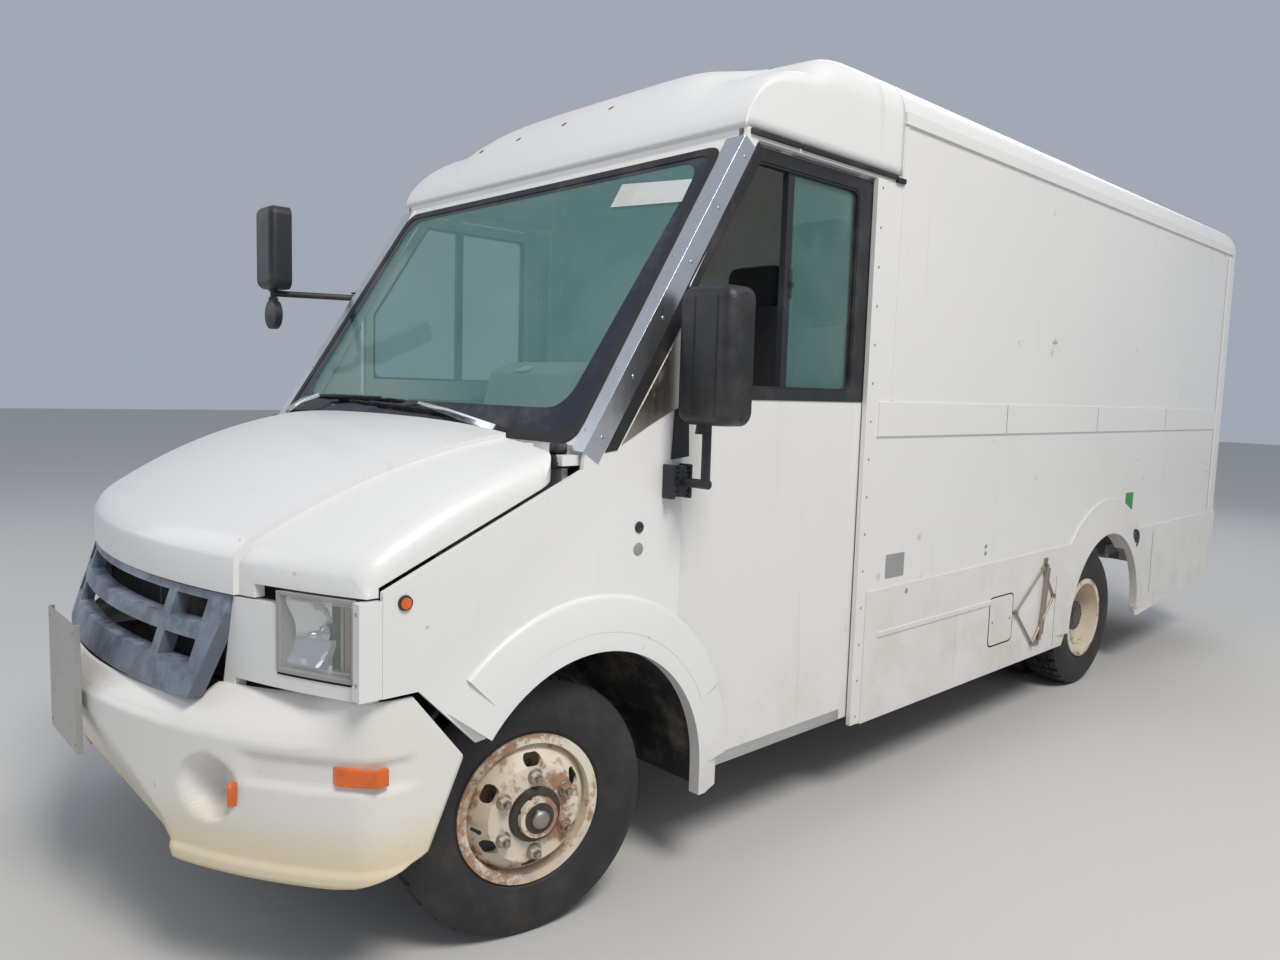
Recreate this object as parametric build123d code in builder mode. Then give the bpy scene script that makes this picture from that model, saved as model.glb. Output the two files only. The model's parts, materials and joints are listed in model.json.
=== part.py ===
from build123d import *
from math import cos, radians, sin, sqrt
import os

os.makedirs("parts", exist_ok=True)

# A walk-in delivery van: aluminium box body and cab on a ladder frame.
# The front is towards -Y, the driver's side is +X, and the ground is at Z = 0.
# The origin is on the ground, midway between the front and rear ends and the two sides.

# Driving sizes, in millimetres
wheelbase = 3835.0
front_overhang = 1012.0
cab_length = 1500.0          # front axle to the post behind the cab door
cargo_length = 4350.0        # that post to the rear face of the body
step_depth = 200.0           # rear step bumper
body_width = 2130.0
length = front_overhang + cab_length + cargo_length + step_depth

# Heights above the ground
deck_z = 800.0               # top of the load floor
floor_thickness = 50.0
skirt_z = 315.0              # lower edge of the side skirts
tail_z = 428.0               # lower edge of the body at the rear
door_bottom_z = 350.0
door_top_z = 2400.0
belt_z = 1582.0              # lower edge of the door windows
cant_z = 2440.0              # lower edge of the roof cap
eave_z = 2640.0              # top of the side walls
roof_edge_z = 2805.0
roof_z = 2862.0

# Thicknesses and clearances
skin = 15.0
wall_thickness = 65.0
roof_thickness = 40.0
door_thickness = 30.0
door_recess = 20.0           # door face behind the body side
running_gap = 8.0            # round the parts that slide or swing
seat_gap = 0.3               # between curved parts that seat in each other

# Stations along the van
front_axle_y = front_overhang - length / 2
rear_axle_y = front_axle_y + wheelbase
post_y = front_axle_y + cab_length
rear_y = post_y + cargo_length
half_width = body_width / 2
inner_half = half_width - wall_thickness


def box_between(x, y, z, mode=Mode.ADD):
    """A block from its low and high corners along each axis."""
    with Locations(((x[0] + x[1]) / 2, (y[0] + y[1]) / 2, (z[0] + z[1]) / 2)):
        Box(abs(x[1] - x[0]), abs(y[1] - y[0]), abs(z[1] - z[0]), mode=mode)


def side_profile(points, x_from, x_to, mode=Mode.ADD):
    """A plate whose outline is given as (y, z) points, between two x stations."""
    with BuildSketch(Plane.YZ.offset(x_from)) as outline:
        with BuildLine():
            Polyline(*points, close=True)
        make_face()
    extrude(outline.sketch, amount=x_to - x_from, mode=mode)


def facing(y):
    """The plane across the van at y, with +X to the right and +Z up."""
    return Plane(origin=(0, y, 0), x_dir=(1, 0, 0), z_dir=(0, -1, 0))


def tube(start, end, radius):
    """A round bar between two points."""
    direction = Vector(*end) - Vector(*start)
    plane = Plane(origin=start, z_dir=direction)
    with BuildSketch(plane) as ring:
        Circle(radius)
    extrude(ring.sketch, amount=direction.length)


def write(piece, name):
    piece.label = name
    export_step(piece, f"parts/{name}.step")


sides = (("left", 1), ("right", -1))


# Ladder frame: two channels and their cross members
rail_x = 430.0               # centre of each rail
rail_width = 70.0
rail_height = 190.0
rail_wall = 8.0
rail_top_z = deck_z - floor_thickness
rail_bottom_z = rail_top_z - rail_height
rail_front_y = front_axle_y - 760.0
rail_rear_y = rear_y - 60.0
rail_inner = rail_x - rail_width / 2
rail_outer = rail_x + rail_width / 2
member_width = 60.0
member_depth = 90.0
# Cross members: (name, distance behind the front axle, depth)
members = (
    ("engine", 40.0, member_depth),
    ("gearbox", 1150.0, member_depth),
    ("middle", 2300.0, member_depth),
    ("spring", 3100.0, member_depth),
    ("tank front", 4600.0, 30.0),
    ("tank rear", 5250.0, 30.0),
    ("tail", 5700.0, member_depth),
)
engine_bottom_z = rail_bottom_z + member_depth

with BuildPart() as chassis_frame:
    for s in (1, -1):
        box_between((s * rail_inner, s * rail_outer), (rail_front_y, rail_rear_y),
                    (rail_bottom_z, rail_top_z))
        box_between((s * rail_inner, s * (rail_outer - rail_wall)), (rail_front_y, rail_rear_y),
                    (rail_bottom_z + rail_wall, rail_top_z - rail_wall), mode=Mode.SUBTRACT)
    for name, distance, depth in members:
        low = rail_bottom_z if name == "engine" else rail_top_z - depth
        reach = rail_outer - rail_wall
        box_between((-reach, reach), (front_axle_y + distance, front_axle_y + distance + member_width),
                    (low, low + depth))
    box_between((-rail_outer, rail_outer), (rail_front_y - 12, rail_front_y),
                (rail_bottom_z, rail_top_z))
write(chassis_frame.part, "chassis_frame")


# Wheels and tyres. A tyre's section is a closed outline of (radius, half width) points.
tyre_diameter = 772.0
tyre_width = 216.0
tyre_radius = tyre_diameter / 2
rim_seat_radius = 203.0
rim_flange_radius = 222.0
rim_half_width = 92.0
rim_wall = 8.0
hub_z = tyre_radius
front_track_half = 883.0     # centre of the front tyres
rear_outer_half = 905.0
rear_inner_half = 661.0
steer_rest = -11.0           # the wheels are parked turned to the right
kingpin_x = 740.0
stud_count = 6
stud_circle = 222.25
hub_bore_radius = 82.0
hand_hole_count = 6
hand_hole_circle = 152.0


def wheel_plane(x, y, side, turn=0.0):
    """A plane across the wheel: its Z is the wheel's axis pointing outboard."""
    a = radians(turn)
    ax = side * cos(a)
    ay = side * sin(a)
    return Plane(origin=(x, y, hub_z), x_dir=(0, 0, 1), z_dir=(ax, ay, 0))


def tyre_on(plane):
    """A tyre about the plane's axis, its middle on the plane."""
    half = tyre_width / 2
    section = Plane(origin=plane.origin, x_dir=plane.x_dir, z_dir=plane.y_dir)
    with BuildSketch(section) as tread:
        with BuildLine():
            # (radius, distance along the axis)
            Polyline(
                (rim_seat_radius + seat_gap, seat_gap - rim_half_width),
                (rim_flange_radius + seat_gap, seat_gap - rim_half_width),
                (rim_flange_radius + 14, -rim_half_width - 8),
                (tyre_radius - 92, -half),
                (tyre_radius - 24, -half + 12),
                (tyre_radius, -half + 30),
                (tyre_radius, half - 30),
                (tyre_radius - 24, half - 12),
                (tyre_radius - 92, half),
                (rim_flange_radius + 14, rim_half_width + 8),
                (rim_flange_radius + seat_gap, rim_half_width - seat_gap),
                (rim_seat_radius + seat_gap, rim_half_width - seat_gap),
                close=True,
            )
        make_face()
    revolve(tread.sketch, axis=Axis(plane.origin, plane.z_dir))


def rim_on(plane, disc):
    """A pressed rim and disc. disc is the disc's outer face from the rim's middle, outboard."""
    section = Plane(origin=plane.origin, x_dir=plane.x_dir, z_dir=plane.y_dir)
    inner = rim_seat_radius - rim_wall
    # Plane.y_dir of the section points along minus the wheel's axis or along it
    along = 1 if section.y_dir.dot(plane.z_dir) > 0 else -1
    with BuildSketch(section) as pressing:
        with BuildLine():
            Polyline(
                (rim_seat_radius, -rim_half_width),
                (rim_flange_radius, -rim_half_width),
                (rim_flange_radius, -rim_half_width - rim_wall),
                (inner, -rim_half_width - rim_wall),
                (inner, rim_half_width + rim_wall),
                (rim_flange_radius, rim_half_width + rim_wall),
                (rim_flange_radius, rim_half_width),
                (rim_seat_radius, rim_half_width),
                close=True,
            )
        make_face()
        with BuildLine():
            face = disc * along
            skirt = rim_half_width * along * (0.62 if disc > 0 else -0.62)
            thick = rim_wall * 1.5 * along * (1 if disc > 0 else -1)
            Polyline(
                (hub_bore_radius, face),
                (hub_bore_radius, face - thick),
                (hand_hole_circle - 22, face - thick),
                (inner, skirt - thick),
                (inner, skirt),
                (hand_hole_circle - 10, face),
                close=True,
            )
        make_face()
    revolve(pressing.sketch, axis=Axis(plane.origin, plane.z_dir))
    with BuildSketch(plane.offset(-abs(disc) * 2)) as hand_holes:
        with PolarLocations(hand_hole_circle, hand_hole_count):
            SlotOverall(56, 34, rotation=90)
    extrude(hand_holes.sketch, amount=abs(disc) * 4, mode=Mode.SUBTRACT)


spindle_radius = 33.0
rear_seat = 58.0
hub_back = 40.0
brake_radius = 155.0
brake_disc = 22.0
front_disc = rim_half_width + rim_wall + 30.0
rear_disc = 18.0
disc_plate = rim_wall * 1.5
# Steered wheels: the tyre's centre swings about the kingpin with the parked steering angle
turn = radians(steer_rest)
scrub = front_track_half - kingpin_x
front_planes = {}
for name, s in sides:
    wheel_x = s * kingpin_x + s * scrub * cos(turn)
    wheel_y = front_axle_y + s * scrub * sin(turn)
    front_planes[name] = wheel_plane(wheel_x, wheel_y, s, steer_rest)

for name, s in sides:
    plane = front_planes[name]
    with BuildPart() as front_tyre:
        tyre_on(plane)
    write(front_tyre.part, f"front_tyre_{name}")
    with BuildPart() as front_rim:
        rim_on(plane, front_disc)
        with BuildSketch(plane.offset(front_disc)):
            with PolarLocations(stud_circle / 2, stud_count):
                RegularPolygon(17, 6)
        extrude(amount=22)
        # The hub runs from the disc's bore back to the spindle's shoulder
        with BuildSketch(plane.offset(-hub_back)):
            Circle(hub_bore_radius)
            Circle(spindle_radius + seat_gap, mode=Mode.SUBTRACT)
        extrude(amount=front_disc + hub_back)
        with BuildSketch(plane.offset(-hub_back)):
            Circle(brake_radius)
            Circle(hub_bore_radius - 1, mode=Mode.SUBTRACT)
        extrude(amount=brake_disc)
        with BuildSketch(plane.offset(front_disc)):
            Circle(62)
        extrude(amount=34, taper=8)
    write(front_rim.part, f"front_rim_{name}")

    rear_outer = wheel_plane(s * rear_outer_half, rear_axle_y, s)
    rear_inner = wheel_plane(s * rear_inner_half, rear_axle_y, s)
    with BuildPart() as rear_tyres:
        tyre_on(rear_outer)
        tyre_on(rear_inner)
    write(rear_tyres.part, f"rear_tyres_{name}")
    # The two dished discs stand back to back on the hub's flange
    dish = (rear_outer_half - rear_inner_half) / 2 - disc_plate
    with BuildPart() as rear_rims:
        rim_on(rear_outer, -dish)
        rim_on(rear_inner, dish + disc_plate)
        with BuildSketch(rear_outer.offset(-dish)):
            with PolarLocations(stud_circle / 2, stud_count):
                RegularPolygon(17, 6)
        extrude(amount=24)
        with BuildSketch(rear_inner.offset(-20)):
            Circle(hub_bore_radius)
            Circle(rear_seat + seat_gap, mode=Mode.SUBTRACT)
        extrude(amount=rear_outer_half - rear_inner_half + 60)
        with BuildSketch(rear_outer.offset(40)):
            Circle(hub_bore_radius)
        extrude(amount=14, taper=20)
    write(rear_rims.part, f"rear_rims_{name}")


# Front axle beam, knuckles and tie rod
beam_width = 70.0
beam_z = hub_z - 50.0
fork_gap = 2.0
kingpin_radius = 20.0
boss_radius = 38.0
boss_height = 90.0
spring_x = rail_x
spring_width = 64.0
spring_pack = 48.0
with BuildPart() as front_axle:
    # A dropped I beam, drawn as (x, z) and carried across the van
    half_beam = beam_width / 2
    with BuildSketch(facing(front_axle_y + half_beam)):
        with BuildLine():
            Polyline(
                (-kingpin_x, hub_z + 40), (-kingpin_x + 40, hub_z + 40),
                (-spring_x - 90, beam_z + 45), (spring_x + 90, beam_z + 45),
                (kingpin_x - 40, hub_z + 40), (kingpin_x, hub_z + 40),
                (kingpin_x, hub_z - 40), (kingpin_x - 50, hub_z - 40),
                (spring_x + 60, beam_z - 45), (-spring_x - 60, beam_z - 45),
                (-kingpin_x + 50, hub_z - 40), (-kingpin_x, hub_z - 40),
                close=True,
            )
        make_face()
    extrude(amount=beam_width)
    for s in (1, -1):
        with Locations((s * kingpin_x, front_axle_y, hub_z)):
            Cylinder(boss_radius, boss_height)
            Cylinder(kingpin_radius + seat_gap, boss_height, mode=Mode.SUBTRACT)
    # The web is hollowed on both faces between the springs
    for s in (1, -1):
        web = half_beam - 22
        box_between((-spring_x + 60, spring_x - 60),
                    (front_axle_y + s * (half_beam - web), front_axle_y + s * half_beam),
                    (beam_z - 25, beam_z + 25), mode=Mode.SUBTRACT)
write(front_axle.part, "front_axle")

fork_plate = 28.0
upright_width = 26.0
upright_x = boss_radius + 6.0 + upright_width / 2
arm_reach = 170.0
arm_z = hub_z - 66.0
arm_drop = 22.0
rod_radius = 15.0
arm_ends = {}
for name, s in sides:
    plane = front_planes[name]
    swing = Location((s * kingpin_x, front_axle_y, 0), (0, 0, steer_rest))
    with BuildPart() as knuckle:
        with Locations((s * kingpin_x, front_axle_y, hub_z)):
            Cylinder(kingpin_radius, boss_height + 60)
        for up in (1, -1):
            fork_z = hub_z + up * (boss_height / 2 + fork_gap + fork_plate / 2)
            with Locations((s * kingpin_x, front_axle_y, fork_z)):
                Cylinder(boss_radius, fork_plate)
            with Locations(swing):
                with Locations((s * upright_x / 2, 0, fork_z)):
                    Box(upright_x, 60, fork_plate)
        # The upright outboard of the beam's boss carries the spindle
        with Locations(swing):
            with Locations((s * upright_x, 0, hub_z)):
                Box(upright_width, 60, boss_height + 2 * (fork_gap + fork_plate))
        with BuildSketch(plane.offset(upright_x - scrub)):
            Circle(spindle_radius)
        extrude(amount=scrub - upright_x + front_disc - 40)
        # The steering arm reaches back under the axle to the tie rod
        with Locations(swing):
            with Locations((0, arm_reach / 2, arm_z)):
                Box(34, arm_reach + 30, 20)
    write(knuckle.part, f"knuckle_{name}")
    arm_end = swing * Location((0, arm_reach, 0))
    arm_ends[name] = (arm_end.position.X, arm_end.position.Y)

with BuildPart() as tie_rod:
    rod_z = arm_z - 10 - arm_drop
    left_x, left_y = arm_ends["left"]
    right_x, right_y = arm_ends["right"]
    with BuildSketch(Plane(origin=(right_x, right_y, rod_z), x_dir=(0, 1, 0), z_dir=(1, 0, 0))):
        Circle(rod_radius)
    extrude(amount=left_x - right_x)
    for x, y, gap in ((left_x, left_y, 0.0), (right_x, right_y, 0.5)):
        with Locations((x, y, rod_z)):
            Sphere(22)
        with Locations((x, y, rod_z + arm_drop / 2)):
            Cylinder(9, arm_drop - 2 * gap)
write(tie_rod.part, "tie_rod")


# Rear axle: housing, tubes and the ends that carry the dual wheels
axle_tube = 60.0
bowl_radius = 165.0
with BuildPart() as rear_axle:
    reach = rear_inner_half - 50
    with BuildSketch(Plane.YZ.offset(-reach)):
        with Locations((rear_axle_y, hub_z)):
            Circle(axle_tube)
    extrude(amount=2 * reach)
    with BuildSketch(Plane.YZ.offset(-rear_outer_half - 30)):
        with Locations((rear_axle_y, hub_z)):
            Circle(rear_seat)
    extrude(amount=2 * (rear_outer_half + 30))
    with BuildSketch(Plane.XZ.offset(-rear_axle_y + 90)):
        with Locations((0, hub_z)):
            Circle(bowl_radius)
    extrude(amount=-180, taper=0)
    # The pinion nose points forward to the drive shaft
    with BuildSketch(facing(rear_axle_y - 90)):
        with Locations((0, hub_z)):
            Circle(95)
    extrude(amount=170, taper=10)
    for s in (1, -1):
        box_between((s * (spring_x - 45), s * (spring_x + 45)),
                    (rear_axle_y - 70, rear_axle_y + 70), (hub_z, hub_z + axle_tube + 25))
write(rear_axle.part, "rear_axle")


# Leaf springs: (axle station, seat height, half length, height of the eyes)
spring_table = (
    (front_axle_y, beam_z + 45, 560.0, rail_bottom_z - 26),
    (rear_axle_y, hub_z + axle_tube + 25, 650.0, rail_bottom_z - 26),
)
eye_radius = 26.0
with BuildPart() as leaf_springs:
    for axle_y, seat_z, reach, eye_z in spring_table:
        for s in (1, -1):
            with BuildSketch(Plane.YZ.offset(s * spring_x - spring_width / 2)):
                with BuildLine():
                    ThreePointArc((axle_y - reach, eye_z - 8), (axle_y, seat_z),
                                  (axle_y + reach, eye_z - 8))
                    Line((axle_y + reach, eye_z - 8), (axle_y + reach, eye_z + 8))
                    Line((axle_y + reach, eye_z + 8), (axle_y + reach * 0.35, seat_z + spring_pack))
                    Line((axle_y + reach * 0.35, seat_z + spring_pack),
                         (axle_y - reach * 0.35, seat_z + spring_pack))
                    Line((axle_y - reach * 0.35, seat_z + spring_pack), (axle_y - reach, eye_z + 8))
                    Line((axle_y - reach, eye_z + 8), (axle_y - reach, eye_z - 8))
                make_face()
                for end in (-1, 1):
                    with Locations((axle_y + end * reach, eye_z)):
                        Circle(eye_radius)
            extrude(amount=spring_width)
write(leaf_springs.part, "leaf_springs")


# Engine and gearbox as one plain block on the engine cross member
engine_half = 280.0
engine_front_y = front_axle_y - 420.0
engine_rear_y = front_axle_y + 300.0
engine_top_z = engine_bottom_z + 500.0
gearbox_rear_y = front_axle_y + 1000.0
shaft_z = rail_bottom_z + 20.0
with BuildPart() as engine_block:
    box_between((-engine_half, engine_half), (engine_front_y, engine_rear_y),
                (engine_bottom_z, engine_top_z))
    with BuildSketch(Plane.XZ.offset(-engine_rear_y)):
        with Locations((0, shaft_z + 30)):
            RectangleRounded(320, 240, 60)
    extrude(amount=-(gearbox_rear_y - engine_rear_y), taper=3)
write(engine_block.part, "engine_block")

with BuildPart() as drive_shaft:
    nose_y = rear_axle_y - 90 - 170
    run = sqrt((nose_y - gearbox_rear_y) ** 2 + (shaft_z - hub_z) ** 2)
    shaft_dir = (0, nose_y - gearbox_rear_y, hub_z - shaft_z)
    with BuildSketch(Plane(origin=(0, gearbox_rear_y, shaft_z), x_dir=(1, 0, 0), z_dir=shaft_dir)):
        Circle(38)
    extrude(amount=run)
    for y, z, grow in ((gearbox_rear_y, shaft_z, 1), (nose_y, hub_z, -1)):
        with BuildSketch(Plane.XZ.offset(-y)):
            with Locations((0, z)):
                Circle(55)
        extrude(amount=-40 * grow)
    # Nothing of the sloped tube passes the two end flanges
    for y, keep in ((gearbox_rear_y, -1), (nose_y, 1)):
        box_between((-100, 100), (y, y + keep * 60), (hub_z - 120, shaft_z + 120), mode=Mode.SUBTRACT)
write(drive_shaft.part, "drive_shaft")


# Fuel tank under the rear cross members
tank_half = 250.0
tank_top_z = rail_top_z - 30.0
tank_height = 240.0
with BuildPart() as fuel_tank:
    with BuildSketch(facing(front_axle_y + 4520)):
        with Locations((0, tank_top_z - tank_height / 2)):
            RectangleRounded(2 * tank_half, tank_height, 40)
    extrude(amount=-860)
    fillet(fuel_tank.faces().sort_by(Axis.Y)[-1].edges(), 18)
write(fuel_tank.part, "fuel_tank")


# Exhaust: pipe, muffler and tail pipe along the right rail
pipe_radius = 28.0
pipe_x = -rail_inner + pipe_radius + 12
muffler_radius = 85.0
muffler_x = -rail_inner + muffler_radius + 12
with BuildPart() as exhaust:
    pipe_z = rail_bottom_z - 10
    start_y = gearbox_rear_y + 150
    muffler_y = (front_axle_y + 2000, front_axle_y + 2680)
    with BuildSketch(facing(start_y)):
        with Locations((pipe_x, pipe_z)):
            Circle(pipe_radius)
    extrude(amount=-(rear_y - 120 - start_y))
    with BuildSketch(facing(muffler_y[0])):
        with Locations((muffler_x, pipe_z - 30)):
            Circle(muffler_radius)
    extrude(amount=-(muffler_y[1] - muffler_y[0]))
    # Straps carry the line from the rail's inner face
    for distance in (1500.0, 2900.0, 4450.0, 5500.0):
        y = front_axle_y + distance
        box_between((-rail_inner, pipe_x), (y, y + 25), (pipe_z - 6, pipe_z + 34))
write(exhaust.part, "exhaust")


# Load floor with the two wheel boxes
arch_rear_y = front_axle_y + 3910.0
arch_rear_z = 380.0
arch_rear_radius = 492.0
box_top_z = deck_z + 95.0
box_skin = 12.0
box_inner_x = rear_inner_half - tyre_width / 2 - 40
bulkhead_y = post_y + 140.0
box_front_y = arch_rear_y - arch_rear_radius - 20
box_rear_y = arch_rear_y + arch_rear_radius + 20
portal_depth = 60.0
portal_y = rear_y - portal_depth
with BuildPart() as cargo_floor:
    box_between((-inner_half, inner_half), (bulkhead_y, portal_y), (rail_top_z, deck_z))
    for s in (1, -1):
        box_between((s * box_inner_x, s * inner_half), (box_front_y, box_rear_y),
                    (deck_z, box_top_z))
        box_between((s * (box_inner_x + box_skin), s * inner_half),
                    (box_front_y + box_skin, box_rear_y - box_skin),
                    (rail_top_z, box_top_z - box_skin), mode=Mode.SUBTRACT)
write(cargo_floor.part, "cargo_floor")


# Side walls: the sliding doors run back into a pocket inside them
pocket_skin = 10.0
door_outer = half_width - door_recess
door_inner = door_outer - door_thickness
pocket_outer = half_width - pocket_skin
pocket_inner = door_inner - 5.0
door_front_y = front_axle_y + 450.0
door_rear_y = post_y - 64.0
door_travel = 930.0
header_low_z = door_top_z + running_gap
pocket_rear_y = door_rear_y + door_travel + 40.0
cap_rear_y = post_y + 97.0
band_low_z = 1450.0
band_high_z = 1585.0
band_rear_y = front_axle_y + 5690.0
ledge_z = 845.0
guard_width = 62.0
guard_gap = 6.0
guard_proud = 7.0
guard_low_z = 320.0
with BuildPart() as cargo_walls:
    for s in (1, -1):
        side_profile(
            [(post_y, rail_top_z), (post_y, cant_z), (cap_rear_y, cant_z), (cap_rear_y, eave_z),
             (portal_y, eave_z), (portal_y, rail_top_z)],
            s * inner_half, s * half_width)
        box_between((s * pocket_inner, s * pocket_outer), (post_y, pocket_rear_y),
                    (rail_top_z, header_low_z), mode=Mode.SUBTRACT)
        # A guard strip covers the rear edge of the door
        box_between((s * (door_outer + guard_gap), s * (half_width + guard_proud)),
                    (post_y - 10 - guard_width, post_y - 10), (guard_low_z, header_low_z))
        box_between((s * pocket_outer, s * half_width), (post_y - 11, post_y + 1),
                    (rail_top_z, header_low_z))
        # The rub band stands proud of the wall
        box_between((s * half_width, s * (half_width + 8)), (post_y + 15, band_rear_y),
                    (band_low_z, band_high_z))
        with BuildSketch(Plane.YZ.offset(s * inner_half)):
            with Locations((arch_rear_y, arch_rear_z)):
                Circle(arch_rear_radius)
        extrude(amount=s * (wall_thickness + 20), mode=Mode.SUBTRACT)
write(cargo_walls.part, "cargo_walls")


# Skirts below the floor, with the rear wheel arch and its flare
skirt_proud = 10.0
skirt_inner = half_width - skin
flare_rear_radius = 690.0
flare_lip = 28.0
tail_rise = 320.0
crease_z = (650.0, 672.0)
crease_y = (front_axle_y + 1580, front_axle_y + 2549)
with BuildPart() as skirts:
    for s in (1, -1):
        side_profile(
            [(post_y - 10, skirt_z), (post_y - 10, rail_top_z), (rear_y, rail_top_z), (rear_y, tail_z),
             (arch_rear_y + 570, tail_rise), (arch_rear_y, tail_rise), (arch_rear_y, skirt_z)],
            s * skirt_inner, s * (half_width + skirt_proud))
        side_profile(
            [(post_y - 10, rail_top_z), (post_y - 10, ledge_z), (rear_y, ledge_z + 30),
             (rear_y, rail_top_z)],
            s * half_width, s * (half_width + skirt_proud))
        # A pressed crease stiffens the skirt ahead of the wheel
        box_between((s * half_width, s * (half_width + skirt_proud + 5)), crease_y, crease_z)
        # The flare rises as a flat arch round the wheel
        with BuildSketch(Plane.YZ.offset(s * half_width)):
            with Locations((arch_rear_y, arch_rear_z)):
                Circle(flare_rear_radius)
            with Locations((arch_rear_y, ledge_z - flare_rear_radius)):
                Rectangle(4 * flare_rear_radius, 2 * flare_rear_radius, mode=Mode.SUBTRACT)
        extrude(amount=s * skirt_proud)
        arch_section = Plane(origin=(0, arch_rear_y, arch_rear_z), x_dir=(0, 1, 0), z_dir=(0, 0, -s))
        with BuildSketch(arch_section):
            with BuildLine():
                Polyline(
                    (arch_rear_radius - 1, half_width + 1), (arch_rear_radius - 1, half_width + flare_lip),
                    (arch_rear_radius + 30, half_width + flare_lip),
                    (flare_rear_radius - 60, half_width + skirt_proud), (flare_rear_radius - 60, half_width + 1),
                    close=True)
            make_face()
        revolve(axis=Axis((0, arch_rear_y, arch_rear_z), (1, 0, 0)), revolution_arc=180)
        with BuildSketch(Plane.YZ.offset(s * (skirt_inner - 5))):
            with Locations((arch_rear_y, arch_rear_z)):
                Circle(arch_rear_radius)
            with BuildLine():
                Polyline(
                    (arch_rear_y - arch_rear_radius, arch_rear_z),
                    (arch_rear_y + arch_rear_radius, arch_rear_z),
                    (arch_rear_y + 563, arch_rear_z - 100), (arch_rear_y - 563, arch_rear_z - 100),
                    close=True)
            make_face()
        extrude(amount=s * (skin + 60), mode=Mode.SUBTRACT)
write(skirts.part, "skirts")


# Roof: a crowned shell with rounded eaves
eave_radius = 160.0


def roof_section(plane, inset, low_z):
    """The crowned outline of the body above low_z, drawn in by inset."""
    half = half_width - inset
    edge = roof_edge_z - inset
    with BuildSketch(plane) as section:
        with BuildLine():
            ThreePointArc((-half, edge), (0, roof_z - inset), (half, edge))
            Polyline((half, edge), (half, low_z), (-half, low_z), (-half, edge))
        make_face()
        fillet(section.vertices().group_by(Axis.Y)[-1], eave_radius - inset)
    return section.sketch


with BuildPart() as cargo_roof:
    extrude(roof_section(facing(cap_rear_y), 0, eave_z),
            amount=-(portal_y - cap_rear_y))
    extrude(roof_section(facing(cap_rear_y), roof_thickness, eave_z - 20),
            amount=-(portal_y - cap_rear_y), mode=Mode.SUBTRACT)
    # Cant rails along both eaves
    for s in (1, -1):
        box_between((s * half_width, s * (half_width + 10)), (cap_rear_y, portal_y),
                    (eave_z - 5, eave_z + 40))
write(cargo_roof.part, "cargo_roof")


# Roof cap over the cab: the roof's section with a rounded brow
cap_front_y = front_axle_y + 690.0
cap_skin = 25.0
brow_reach = 720.0


def cap_form(inset):
    """The cap's outside, or its inside when drawn in."""
    low = cant_z if inset == 0 else cant_z - 20
    with BuildPart() as form:
        extrude(roof_section(facing(cap_rear_y), inset, low),
                amount=cap_rear_y - cap_front_y + 100)
        with BuildSketch(Plane.YZ.offset(-body_width)):
            with BuildLine():
                brow = cap_front_y + inset
                top = roof_z - inset
                Polyline((brow, cant_z + 40), (brow - 8, low), (cap_rear_y + 10, low),
                         (cap_rear_y + 10, top), (brow + brow_reach, top))
                ThreePointArc((brow + brow_reach, top), (brow + brow_reach * 0.27, top - 130),
                              (brow, cant_z + 40))
            make_face()
        extrude(amount=2 * body_width, mode=Mode.INTERSECT)
    return form.part


with BuildPart() as cab_roof:
    add(cap_form(0))
    add(cap_form(cap_skin), mode=Mode.SUBTRACT)
write(cab_roof.part, "cab_roof")


# Bulkhead behind the seats, with a rounded window behind the driver
bulkhead_thickness = 25.0
with BuildPart() as bulkhead:
    extrude(roof_section(facing(bulkhead_y), roof_thickness + seat_gap, deck_z),
            amount=bulkhead_thickness)
    for s in (1, -1):
        box_between((s * inner_half, s * half_width), (bulkhead_y - bulkhead_thickness, bulkhead_y),
                    (deck_z, eave_z), mode=Mode.SUBTRACT)
    with BuildSketch(facing(bulkhead_y)):
        with Locations((670, 2100)):
            RectangleRounded(270, 400, 50)
    extrude(amount=bulkhead_thickness, mode=Mode.SUBTRACT)
write(bulkhead.part, "bulkhead")


# Rear portal, its doors and the step bumper
doorway_half = 880.0
doorway_top_z = 2580.0
door_skin = 42.0
rear_hinge_x = doorway_half + 22.0
rear_hinge_y = rear_y + 26.0
hinge_radius = 9.0
hinge_heights = (1000.0, 1650.0, 2350.0)
hinge_length = 90.0
with BuildPart() as rear_frame:
    extrude(roof_section(facing(rear_y), 0, tail_z),
            amount=portal_depth)
    box_between((-doorway_half, doorway_half), (portal_y, rear_y), (deck_z, doorway_top_z),
                mode=Mode.SUBTRACT)
    # The lower panel is a single skin, open behind for the rails and the step's arms
    box_between((-skirt_inner, skirt_inner), (portal_y, rear_y - skin), (tail_z, rail_top_z),
                mode=Mode.SUBTRACT)
    for s in (1, -1):
        box_between((s * (skirt_inner - 1), s * half_width), (portal_y, rear_y), (tail_z, rail_top_z),
                    mode=Mode.SUBTRACT)
        box_between((s * (spring_x - 40), s * (spring_x + 40)), (portal_y, rear_y),
                    (tail_z, rail_bottom_z), mode=Mode.SUBTRACT)
        # Hinge knuckles stand out behind the corner posts
        for z in hinge_heights:
            box_between((s * (rear_hinge_x - hinge_radius), s * (rear_hinge_x + 40)),
                        (rear_y, rear_y + 8), (z - hinge_length / 2, z - seat_gap))
            box_between((s * (rear_hinge_x - 1), s * (rear_hinge_x + hinge_radius)),
                        (rear_y, rear_hinge_y), (z - hinge_length / 2, z - seat_gap))
            with Locations((s * rear_hinge_x, rear_hinge_y, z - hinge_length / 4 - seat_gap / 2)):
                Cylinder(hinge_radius, hinge_length / 2 - seat_gap)
write(rear_frame.part, "rear_frame")

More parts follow.
